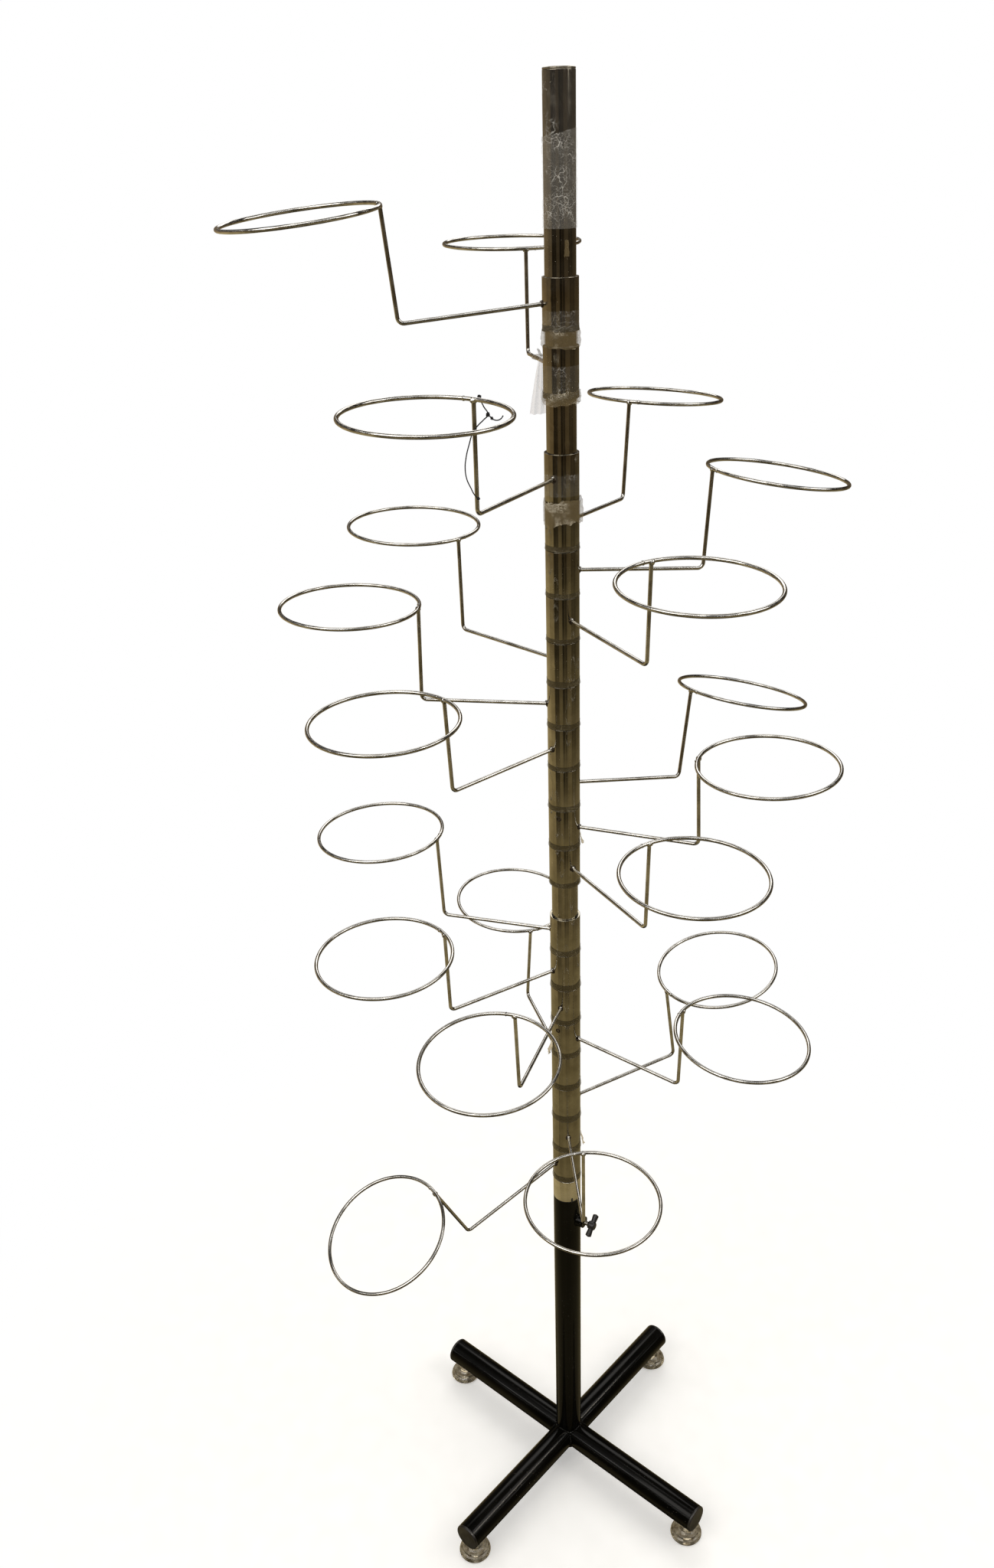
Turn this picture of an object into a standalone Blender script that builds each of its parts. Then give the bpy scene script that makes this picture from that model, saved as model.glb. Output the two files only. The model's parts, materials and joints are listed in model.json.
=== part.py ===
"""Rotating display rack: twenty ring holders that turn on a chrome pole over a black cross base.

The origin is on the pole's axis at floor level, +Z up, and the four legs lie on the diagonals.
Run with: blender --background --python part.py
"""

import math

import bmesh
import bpy
from mathutils import Matrix, Vector

# Driving dimensions, in metres
TOTAL_HEIGHT = 1.780
GAP = 0.0003  # clearance that touching pieces keep

POLE_RADIUS = 0.015
POLE_WALL = 0.0015
POLE_BOTTOM = 0.060
POLE_CAP_THICKNESS = 0.002
POLE_CAP_SPIGOT = 0.012
BUSH_SPIGOT = 0.018
BUSH_FLANGE = 0.010

POST_RADIUS = 0.0175
POST_WALL = 0.002
POST_TOP = 0.486

LEG_RADIUS = 0.0175
LEG_WALL = 0.0015
LEG_AXIS_HEIGHT = 0.040
LEG_REACH = 0.216  # pole axis to the open end of a leg tube
LEG_START = 0.002  # inside the post, before the saddle and the mitres are cut
LEG_CAP_THICKNESS = 0.0035
LEG_CAP_SPIGOT = 0.007

FOOT_REACH = 0.204
FOOT_RADIUS = 0.021
FOOT_STEM_RADIUS = 0.004
FOOT_STEM_HEIGHT = 0.008
FOOT_NECK_RADIUS = 0.008

COLLAR_RADIUS = 0.0175
COLLAR_BORE = 0.01535
COLLAR_HEIGHT = 0.0485
# (top of the first collar, number of collars, pitch) for each group along the pole
COLLAR_GROUPS = ((1.607, 2, 0.062), (1.444, 10, 0.049), (0.911, 8, 0.049))
STOP_RING_HEIGHT = 0.0324

WIRE_RADIUS = 0.002
ARM_START = 0.0181  # pole axis to the welded root of an arm
ARM_LENGTH = 0.136  # root to elbow
RISER_HEIGHT = 0.104
RING_RADIUS = 0.0735  # to the middle of the wire
ELBOW_RADIUS = 0.006

CLAMP_HEIGHT = 0.448
CLAMP_AZIMUTH = -36
BOSS_RADIUS = 0.0075
BOSS_REACH = 0.026
SCREW_RADIUS = 0.003
SCREW_REACH = 0.030
HUB_RADIUS = 0.0055
LEVER_CENTRE = 0.037
LEVER_LENGTH = 0.030
LEVER_RADIUS = 0.0042
LEVER_TILT = 39

TURNED_STEPS = 20
WIRE_SIDES = 6
RING_STEPS = 24

# One row for each holder from the top of the pole down, in degrees: where its arm points,
# how far the arm droops, the riser leans out and the ring tips down, and its twist about the arm
HOLDERS = (
    (184, 5, 6, 6, -2),
    (97, 2, 1, -1, 0),
    (234, 1, 3, 1, -2),
    (58, 4, 3, 5, 2),
    (10, 5, 4, 9, -1),
    (295, 2, 2, 3, 0),
    (131, 0, 1, -2, 0),
    (170, -1, -1, -1, 0),
    (216, 2, 3, 2, 0),
    (23, 11, 10, 14, -4),
    (334, -1, -2, -1, 1),
    (297, 3, 2, 3, 0),
    (155, 3, 2, 2, -1),
    (206, 2, 2, 3, -1),
    (244, 7, 4, 7, 0),
    (321, 4, 1, 6, -1),
    (103, -2, -4, -4, 2),
    (20, -7, -8, -9, 1),
    (271, 5, -2, 3, 0),
    (206, 21, 27, 25, -5),
)


def clear_scene():
    for obj in list(bpy.data.objects):
        bpy.data.objects.remove(obj, do_unlink=True)


def new_collection(name, hidden=False):
    collection = bpy.data.collections.new(name)
    collection.hide_render = hidden
    bpy.context.scene.collection.children.link(collection)
    return collection


def new_material(name, color, roughness, metallic=0.0, alpha=1.0):
    material = bpy.data.materials.new(name)
    material.use_nodes = True
    shader = material.node_tree.nodes["Principled BSDF"]
    shader.inputs["Base Color"].default_value = (*color, 1.0)
    shader.inputs["Roughness"].default_value = roughness
    shader.inputs["Metallic"].default_value = metallic
    shader.inputs["Alpha"].default_value = alpha
    return material


def empty_at(name, location, azimuth, collection, parent=None):
    """An axis helper, turned about Z by azimuth degrees."""
    empty = bpy.data.objects.new(name, None)
    empty.location = location
    empty.rotation_euler = (0, 0, math.radians(azimuth))
    empty.parent = parent
    collection.objects.link(empty)
    return empty


def mesh_object(name, mesh, material, collection, parent=None):
    obj = bpy.data.objects.new(name, mesh)
    if material:
        mesh.materials.clear()
        mesh.materials.append(material)
    obj.parent = parent
    collection.objects.link(obj)
    return obj


def profile_mesh(name, profile, closed):
    """A chain of edges in the XZ plane, ready to be turned about Z."""
    mesh = bpy.data.meshes.new(name)
    last = len(profile) - 1
    edges = [(i, i + 1) for i in range(last)]
    if closed:
        edges.append((last, 0))
    mesh.from_pydata([(r, 0, z) for r, z in profile], edges, [])
    return mesh


def turned(name, profile, material, collection, parent=None, closed=True):
    """A piece turned about Z. The profile runs down the outer side, then back up the bore."""
    obj = mesh_object(name, profile_mesh(name, profile, closed), material, collection, parent)
    screw = obj.modifiers.new("Turn", "SCREW")
    screw.steps = TURNED_STEPS
    screw.render_steps = TURNED_STEPS
    screw.use_merge_vertices = True
    screw.merge_threshold = 0.00001
    screw.use_smooth_shade = True
    return obj


def tube_profile(outer, inner, bottom, top):
    return [(outer, top), (outer, bottom), (inner, bottom), (inner, top)]


def cap_profile(radius, thickness, spigot_radius, spigot_depth):
    """A plug whose head sits on z = 0 and whose spigot hangs below it."""
    edge = min(0.0006, thickness / 3)
    return [
        (0, thickness),
        (radius - edge, thickness),
        (radius, thickness - edge),
        (radius, 0),
        (spigot_radius, 0),
        (spigot_radius, -spigot_depth),
        (0, -spigot_depth),
    ]


def baked(obj):
    """The object with its modifiers applied, so that it can be cut or joined."""
    graph = bpy.context.evaluated_depsgraph_get()
    mesh = bpy.data.meshes.new_from_object(obj.evaluated_get(graph))
    welder = bmesh.new()
    welder.from_mesh(mesh)
    bmesh.ops.remove_doubles(welder, verts=welder.verts, dist=0.000005)
    welder.to_mesh(mesh)
    welder.free()
    return mesh


def boolean(obj, other, operation):
    modifier = obj.modifiers.new(operation.title(), "BOOLEAN")
    modifier.operation = operation
    modifier.object = other


def cylinder_cutter(name, radius, length, matrix, collection):
    """A solid rod along local Z, centred on its origin, used only to cut."""
    mesh = bpy.data.meshes.new(name)
    maker = bmesh.new()
    bmesh.ops.create_cone(
        maker,
        cap_ends=True,
        segments=TURNED_STEPS,
        radius1=radius,
        radius2=radius,
        depth=length,
    )
    maker.to_mesh(mesh)
    maker.free()
    cutter = mesh_object(name, mesh, None, collection)
    cutter.matrix_world = matrix
    hide_cutter(cutter)
    return cutter


def box_cutter(name, size, matrix, collection):
    mesh = bpy.data.meshes.new(name)
    maker = bmesh.new()
    bmesh.ops.create_cube(maker, size=1.0)
    bmesh.ops.scale(maker, vec=size, verts=maker.verts)
    maker.to_mesh(mesh)
    maker.free()
    cutter = mesh_object(name, mesh, None, collection)
    cutter.matrix_world = matrix
    hide_cutter(cutter)
    return cutter


def hide_cutter(cutter):
    cutter.hide_render = True
    cutter.display_type = "WIRE"


def smooth(obj):
    obj.data.shade_smooth()
    obj.data.set_sharp_from_angle(angle=math.radians(40))


def azimuth_matrix(azimuth):
    return Matrix.Rotation(math.radians(azimuth), 4, "Z")


def lying(height, azimuth):
    """Turns a Z-long piece so that it points outwards at this azimuth and height."""
    lay = Matrix.Rotation(math.radians(90), 4, "Y")
    return azimuth_matrix(azimuth) @ Matrix.Translation((0, 0, height)) @ lay


def rotated(vector, axis, degrees):
    return Matrix.Rotation(math.radians(degrees), 3, axis) @ vector


def arc_corner(corner, before, after, radius, steps):
    """Points round a bend at corner, between the unit directions before and after."""
    turn = before.angle(after)
    reach = radius * math.tan(turn / 2)
    start = corner - before * reach
    side = (after - before * before.dot(after)).normalized()
    centre = start + side * radius
    points = []
    for i in range(steps + 1):
        angle = turn * i / steps
        points.append(centre + (before * math.sin(angle) - side * math.cos(angle)) * radius)
    return points


def wire_mesh(name, points, collection):
    """A round wire along the points, as a closed mesh."""
    curve = bpy.data.curves.new(name, "CURVE")
    curve.dimensions = "3D"
    curve.bevel_depth = WIRE_RADIUS
    curve.bevel_resolution = (WIRE_SIDES - 4) // 2
    curve.use_fill_caps = True
    spline = curve.splines.new("POLY")
    spline.points.add(len(points) - 1)
    for point, place in zip(spline.points, points):
        point.co = (*place, 1.0)
    rod = bpy.data.objects.new(name, curve)
    collection.objects.link(rod)
    mesh = baked(rod)
    bpy.data.objects.remove(rod, do_unlink=True)
    return mesh


def ring_mesh(name, centre, outward, sideways):
    """The wire ring, lying in the plane of its outward and sideways directions."""
    bpy.ops.mesh.primitive_torus_add(
        major_segments=RING_STEPS,
        minor_segments=WIRE_SIDES,
        major_radius=RING_RADIUS,
        minor_radius=WIRE_RADIUS,
    )
    torus = bpy.context.object
    mesh = torus.data.copy()
    bpy.data.objects.remove(torus, do_unlink=True)
    frame = Matrix((outward, sideways, outward.cross(sideways))).transposed().to_4x4()
    mesh.transform(Matrix.Translation(centre) @ frame)
    mesh.name = name
    return mesh


def holder(name, angles, material, collection, cutters, parent):
    """One bent wire holder in its collar's frame, with the arm along +X."""
    droop, lean, tip, twist = angles
    across = Vector((0, 1, 0))
    arm = rotated(Vector((1, 0, 0)), across, droop)
    upright = rotated(rotated(Vector((0, 0, 1)), across, lean), arm, twist)
    outward = rotated(rotated(Vector((1, 0, 0)), across, tip), arm, twist)
    sideways = rotated(across, arm, twist)
    root = Vector((ARM_START, 0, 0)) + arm * (abs(math.sin(math.radians(droop))) * WIRE_RADIUS)
    elbow = root + arm * ARM_LENGTH
    top = elbow + upright * RISER_HEIGHT
    bend = arc_corner(elbow, arm, upright, ELBOW_RADIUS, 3)
    rod = wire_mesh(name, [root, *bend, top], cutters)
    piece = mesh_object(name, rod, material, collection, parent)
    ring = ring_mesh(name + "_ring", top + outward * RING_RADIUS, outward, sideways)
    loop = mesh_object(name + "_ring", ring, None, cutters, parent)
    hide_cutter(loop)
    boolean(piece, loop, "UNION")
    smooth(piece)
    return piece


def collar_tops():
    tops = []
    for first, count, pitch in COLLAR_GROUPS:
        tops += [first - pitch * i for i in range(count)]
    return tops


def collars_and_holders(chrome, collection, cutters, pole):
    half = COLLAR_HEIGHT / 2
    for number, (top, row) in enumerate(zip(collar_tops(), HOLDERS), start=1):
        azimuth, *angles = row
        axis = empty_at(f"collar_axis_{number:02d}", (0, 0, top - half), azimuth, collection, pole)
        turned(
            f"collar_{number:02d}",
            tube_profile(COLLAR_RADIUS, COLLAR_BORE, -half, half),
            chrome,
            collection,
            axis,
        )
        holder(f"holder_{number:02d}", angles, chrome, collection, cutters, axis)


def pole_parts(chrome, nylon, collection):
    """The pole and what is fixed to it: its top cap, the stop ring and the bush at its foot."""
    pole_top = TOTAL_HEIGHT - POLE_CAP_THICKNESS - GAP
    bore = POLE_RADIUS - POLE_WALL
    pole = turned(
        "pole", tube_profile(POLE_RADIUS, bore, POLE_BOTTOM, pole_top), chrome, collection
    )
    cap = turned(
        "pole_cap",
        cap_profile(POLE_RADIUS, POLE_CAP_THICKNESS, bore - GAP, POLE_CAP_SPIGOT),
        chrome,
        collection,
        closed=False,
    )
    cap.location.z = TOTAL_HEIGHT - POLE_CAP_THICKNESS
    ring_bottom = POST_TOP + GAP
    turned(
        "stop_ring",
        tube_profile(COLLAR_RADIUS, COLLAR_BORE, ring_bottom, ring_bottom + STOP_RING_HEIGHT),
        chrome,
        collection,
    )
    # The bush slides in the post, and the pole turns on its spigot
    flange = POST_RADIUS - POST_WALL - GAP
    spigot = bore - GAP
    bush = turned(
        "pole_foot",
        [
            (0, BUSH_SPIGOT),
            (spigot, BUSH_SPIGOT),
            (spigot, 0),
            (flange, 0),
            (flange, -BUSH_FLANGE),
            (0, -BUSH_FLANGE),
        ],
        nylon,
        collection,
        closed=False,
    )
    bush.location.z = POLE_BOTTOM - GAP
    return pole


def post(black, collection, cutters):
    """The outer tube, with the hole that the clamp screw passes through."""
    bottom = LEG_AXIS_HEIGHT - LEG_RADIUS
    piece = turned(
        "post",
        tube_profile(POST_RADIUS, POST_RADIUS - POST_WALL, bottom, POST_TOP),
        black,
        collection,
    )
    hole = cylinder_cutter(
        "screw_hole",
        SCREW_RADIUS + GAP,
        6 * POST_WALL,
        lying(CLAMP_HEIGHT, CLAMP_AZIMUTH) @ Matrix.Translation((0, 0, POST_RADIUS)),
        cutters,
    )
    boolean(piece, hole, "DIFFERENCE")


def legs(black, plastic, clear, collection, cutters):
    """Four tubes mitred to each other and saddled to the post, each with a cap and a foot."""
    post_space = cylinder_cutter(
        "post_space",
        POST_RADIUS + GAP,
        4 * LEG_RADIUS,
        Matrix.Translation((0, 0, LEG_AXIS_HEIGHT)),
        cutters,
    )
    for number, azimuth in enumerate((-45, 45, 135, 225), start=1):
        leg(number, azimuth, post_space, black, collection, cutters)
        cap = turned(
            f"leg_cap_{number}",
            cap_profile(LEG_RADIUS, LEG_CAP_THICKNESS, LEG_RADIUS - LEG_WALL - GAP, LEG_CAP_SPIGOT),
            plastic,
            collection,
            closed=False,
        )
        cap.matrix_world = lying(LEG_AXIS_HEIGHT, azimuth) @ Matrix.Translation(
            (0, 0, LEG_REACH + GAP)
        )
        foot(number, azimuth, clear, collection)


def leg(number, azimuth, post_space, black, collection, cutters):
    name = f"leg_{number}"
    place = lying(LEG_AXIS_HEIGHT, azimuth)
    piece = turned(
        name,
        tube_profile(LEG_RADIUS, LEG_RADIUS - LEG_WALL, LEG_START, LEG_REACH),
        black,
        collection,
    )
    piece.matrix_world = place
    boolean(piece, post_space, "DIFFERENCE")
    block = 6 * LEG_RADIUS
    for side in (-1, 1):
        mitre = azimuth_matrix(azimuth + 45 * side) @ Matrix.Translation(
            (0, side * (block / 2 - GAP / 2), LEG_AXIS_HEIGHT)
        )
        neighbour = box_cutter(f"{name}_mitre", (block, block, block), mitre, cutters)
        boolean(piece, neighbour, "DIFFERENCE")
    # A hole through the lower wall only, for the foot's stem
    hole_place = (FOOT_REACH, 0, LEG_AXIS_HEIGHT - LEG_RADIUS)
    stem_hole = cylinder_cutter(
        f"{name}_hole",
        FOOT_STEM_RADIUS + GAP,
        LEG_RADIUS,
        azimuth_matrix(azimuth) @ Matrix.Translation(hole_place),
        cutters,
    )
    boolean(piece, stem_hole, "DIFFERENCE")


def foot(number, azimuth, clear, collection):
    """A clear domed pad on a short neck, with a stem that plugs into the leg."""
    neck_top = LEG_AXIS_HEIGHT - LEG_RADIUS - GAP
    profile = [
        (0, neck_top + FOOT_STEM_HEIGHT),
        (FOOT_STEM_RADIUS, neck_top + FOOT_STEM_HEIGHT),
        (FOOT_STEM_RADIUS, neck_top),
        (FOOT_NECK_RADIUS, neck_top),
        (FOOT_NECK_RADIUS + 0.002, 0.0135),
        (0.0165, 0.0105),
        (0.0200, 0.0065),
        (FOOT_RADIUS, 0.003),
        (FOOT_RADIUS - 0.0012, 0),
        (0, 0),
    ]
    piece = turned(f"foot_{number}", profile, clear, collection, closed=False)
    piece.matrix_world = azimuth_matrix(azimuth) @ Matrix.Translation((FOOT_REACH, 0, 0))


def clamp(black, steel, plastic, collection, cutters):
    """A threaded boss welded to the post, and a screw with a small cross handle."""
    place = lying(CLAMP_HEIGHT, CLAMP_AZIMUTH)
    boss = turned(
        "clamp_boss",
        tube_profile(BOSS_RADIUS, SCREW_RADIUS + GAP, POST_RADIUS - BOSS_RADIUS, BOSS_REACH),
        black,
        collection,
    )
    boss.matrix_world = place
    around_post = cylinder_cutter(
        "boss_saddle",
        POST_RADIUS + GAP,
        4 * BOSS_RADIUS,
        Matrix.Translation((0, 0, CLAMP_HEIGHT)),
        cutters,
    )
    boolean(boss, around_post, "DIFFERENCE")

    axis = bpy.data.objects.new("clamp_axis", None)
    collection.objects.link(axis)
    axis.matrix_world = place
    tip = POLE_RADIUS + 0.0004
    turned(
        "clamp_screw",
        [
            (0, SCREW_REACH),
            (SCREW_RADIUS, SCREW_REACH),
            (SCREW_RADIUS, tip + 0.001),
            (SCREW_RADIUS - 0.001, tip),
            (0, tip),
        ],
        steel,
        collection,
        axis,
        closed=False,
    )
    hub_start = SCREW_REACH + GAP
    hub = turned(
        "clamp_lever",
        [(0, LEVER_CENTRE), (HUB_RADIUS, LEVER_CENTRE), (HUB_RADIUS, hub_start), (0, hub_start)],
        plastic,
        collection,
        axis,
        closed=False,
    )
    bar = turned("lever_bar", bar_profile(), None, cutters, axis, closed=False)
    hide_cutter(bar)
    bar.location = (0, 0, LEVER_CENTRE)
    # Local X of the axis points down and local Y along the post's tangent
    bar.rotation_euler = (math.radians(-90), 0, math.radians(LEVER_TILT))
    boolean(hub, bar, "UNION")


def bar_profile():
    """Half the outline of a round-ended bar along Z."""
    straight = LEVER_LENGTH / 2 - LEVER_RADIUS
    corner_steps = 3
    upper = []
    for i in range(corner_steps + 1):
        angle = math.pi / 2 * i / corner_steps
        upper.append((LEVER_RADIUS * math.sin(angle), straight + LEVER_RADIUS * math.cos(angle)))
    return upper + [(r, -z) for r, z in reversed(upper)]


def build():
    clear_scene()
    parts = new_collection("rotating_display_rack")
    cutters = new_collection("cutters", hidden=True)
    chrome = new_material("chrome_plate", (0.80, 0.79, 0.77), 0.08, metallic=1.0)
    black = new_material("black_enamel", (0.010, 0.010, 0.010), 0.22)
    plastic = new_material("black_plastic", (0.015, 0.015, 0.015), 0.40)
    steel = new_material("zinc_plated_steel", (0.60, 0.59, 0.56), 0.30, metallic=1.0)
    nylon = new_material("natural_nylon", (0.75, 0.70, 0.58), 0.45)
    clear = new_material("clear_plastic", (0.80, 0.80, 0.74), 0.10, alpha=0.45)
    pole = pole_parts(chrome, nylon, parts)
    collars_and_holders(chrome, parts, cutters, pole)
    post(black, parts, cutters)
    legs(black, plastic, clear, parts, cutters)
    clamp(black, steel, plastic, parts, cutters)


build()
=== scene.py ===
import json
import math

import bmesh
import bpy
from mathutils import Matrix, Vector, noise

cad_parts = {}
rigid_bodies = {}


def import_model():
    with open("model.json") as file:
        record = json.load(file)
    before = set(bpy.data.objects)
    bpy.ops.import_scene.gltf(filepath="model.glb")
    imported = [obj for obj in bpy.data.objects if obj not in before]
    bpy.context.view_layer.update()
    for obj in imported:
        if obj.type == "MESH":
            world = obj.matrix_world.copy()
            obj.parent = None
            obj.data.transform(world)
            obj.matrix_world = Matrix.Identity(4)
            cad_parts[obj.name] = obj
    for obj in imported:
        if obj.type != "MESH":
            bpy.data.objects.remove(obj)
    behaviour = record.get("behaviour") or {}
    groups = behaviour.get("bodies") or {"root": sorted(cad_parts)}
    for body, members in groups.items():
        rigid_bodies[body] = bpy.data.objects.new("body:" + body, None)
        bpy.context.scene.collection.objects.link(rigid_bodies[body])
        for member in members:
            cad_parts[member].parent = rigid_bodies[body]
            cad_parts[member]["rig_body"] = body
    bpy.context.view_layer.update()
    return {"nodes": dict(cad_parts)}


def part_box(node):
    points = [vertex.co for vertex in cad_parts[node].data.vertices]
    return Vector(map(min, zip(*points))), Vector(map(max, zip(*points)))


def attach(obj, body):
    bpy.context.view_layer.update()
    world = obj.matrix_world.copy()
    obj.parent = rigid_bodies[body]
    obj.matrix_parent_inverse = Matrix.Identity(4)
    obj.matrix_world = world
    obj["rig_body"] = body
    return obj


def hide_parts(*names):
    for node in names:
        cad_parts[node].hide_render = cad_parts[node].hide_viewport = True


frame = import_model()

mm = 0.001
up = Vector((0, 0, 1))
scene = bpy.context.scene


def linear(hexColour):
    channels = [int(hexColour[at : at + 2], 16) / 255 for at in (1, 3, 5)]
    return [c / 12.92 if c <= 0.04045 else ((c + 0.055) / 1.055) ** 2.4 for c in channels] + [1]


# one node, with its settings and its links; "stops" are a colour ramp's
def addNode(tree, kind, settings=None, links=None):
    node = tree.nodes.new(kind)
    for name, value in (settings or {}).items():
        if name == "stops":
            ramp = node.color_ramp
            while len(ramp.elements) < len(value):
                ramp.elements.new(0.5)
            for element, (place, colour) in zip(ramp.elements, value):
                element.position = place
                element.color = colour if hasattr(colour, "__len__") else (colour,) * 3 + (1,)
        elif isinstance(name, str) and name in node.bl_rna.properties:
            setattr(node, name, value)
        else:
            node.inputs[name].default_value = value
    for name, source in (links or {}).items():
        tree.links.new(source, node.inputs[name])
    return node


# a material with only its main shader, ready for patterns
def newMaterial(name, **sockets):
    material = bpy.data.materials.new(name)
    material.use_nodes = True
    tree = material.node_tree
    shader = tree.nodes["Principled BSDF"]
    for socket, value in sockets.items():
        shader.inputs[socket.replace("_", " ")].default_value = value
    place = addNode(tree, "ShaderNodeTexCoord").outputs["Object"]
    return material, tree, shader, place


def turnedFace(bm, corners, material):
    if len(set(corners)) < 3:
        return
    face = bm.faces.new(dict.fromkeys(corners))
    face.material_index = material
    face.smooth = True


# faces between rows of points; around joins each row's end to its start
def addGrid(bm, rows, around=False, material=0):
    for low, high in zip(rows, rows[1:]):
        for i in range(len(low) if around else len(low) - 1):
            j = (i + 1) % len(low)
            turnedFace(bm, (low[i], low[j], high[j], high[i]), material)


# revolves (radius, height) points about Z; wobble adds to the radius by angle and height
def addTurned(bm, profile, steps, place=Matrix(), material=0, closed=False, wobble=None):
    rows = []
    for radius, height in profile:
        if radius < 1e-6:
            rows.append([bm.verts.new(place @ Vector((0, 0, height)))] * steps)
            continue
        row = []
        for step in range(steps):
            angle = 2 * math.pi * step / steps
            reach = radius + (wobble(angle, height) if wobble else 0)
            spot = Vector((reach * math.cos(angle), reach * math.sin(angle), height))
            row.append(bm.verts.new(place @ spot))
        rows.append(row)
    addGrid(bm, rows + rows[:1] if closed else rows, True, material)


# cuts each corner of a profile with a small arc, as a deburred edge has
def softened(profile, radius, closed=False):
    points = [Vector(point) for point in profile]
    result = []
    for i, point in enumerate(points):
        if not closed and i in (0, len(points) - 1):
            result.append(point)
            continue
        before = points[i - 1] - point
        after = points[(i + 1) % len(points)] - point
        reach = min(radius, before.length * 0.45, after.length * 0.45)
        start, end = point + before.normalized() * reach, point + after.normalized() * reach
        for t in (0, 0.25, 0.5, 0.75, 1):
            result.append(start.lerp(point, t).lerp(point.lerp(end, t), t))
    return [tuple(point) for point in result]


# a round wire along points that lie in one plane, whose normal is given
def addWire(bm, points, normal, radius, sides, closed=False, material=0):
    rows = []
    count = len(points)
    for i, point in enumerate(points):
        ahead = points[(i + 1) % count] if closed or i < count - 1 else point
        behind = points[i - 1] if closed or i else point
        across = (ahead - behind).normalized().cross(normal)
        thick = radius[i] if hasattr(radius, "__len__") else radius
        row = []
        for side in range(sides):
            angle = 2 * math.pi * side / sides
            offset = normal * math.cos(angle) + across * math.sin(angle)
            row.append(bm.verts.new(point + offset * thick))
        rows.append(row)
    addGrid(bm, rows + rows[:1] if closed else rows, True, material)
    if not closed:
        turnedFace(bm, rows[0][::-1], material)
        turnedFace(bm, rows[-1], material)


# a lump of weld or plating: a ball squashed to three radii and made uneven
def addLump(bm, centre, axes, radii, unevenness=0.12, seed=0.0, material=0, detail=3):
    lump = bmesh.ops.create_icosphere(bm, subdivisions=detail, radius=1)
    for vert in lump["verts"]:
        bulge = 1 + unevenness * noise.noise(vert.co * 1.7 + Vector((seed, seed * 2, 1)))
        spot = Vector((0, 0, 0))
        for axis, radius, share in zip(axes, radii, vert.co):
            spot += axis * radius * share * bulge
        vert.co = centre + spot
    for face in {face for vert in lump["verts"] for face in vert.link_faces}:
        face.material_index = material
        face.smooth = True


# turns a bmesh into a piece that rides on a body, and hides the CAD nodes it stands for
def makePiece(name, bm, materials, body, slot, *nodes):
    bmesh.ops.recalc_face_normals(bm, faces=bm.faces)
    mesh = bpy.data.meshes.new(name)
    bm.to_mesh(mesh)
    bm.free()
    for material in materials:
        mesh.materials.append(material)
    mesh.set_sharp_from_angle(angle=math.radians(50))
    piece = bpy.data.objects.new(name, mesh)
    scene.collection.objects.link(piece)
    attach(piece, body)
    if nodes:
        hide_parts(*nodes)
    return piece


def turned(azimuth):
    return Matrix.Rotation(math.radians(azimuth), 4, "Z")


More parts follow.
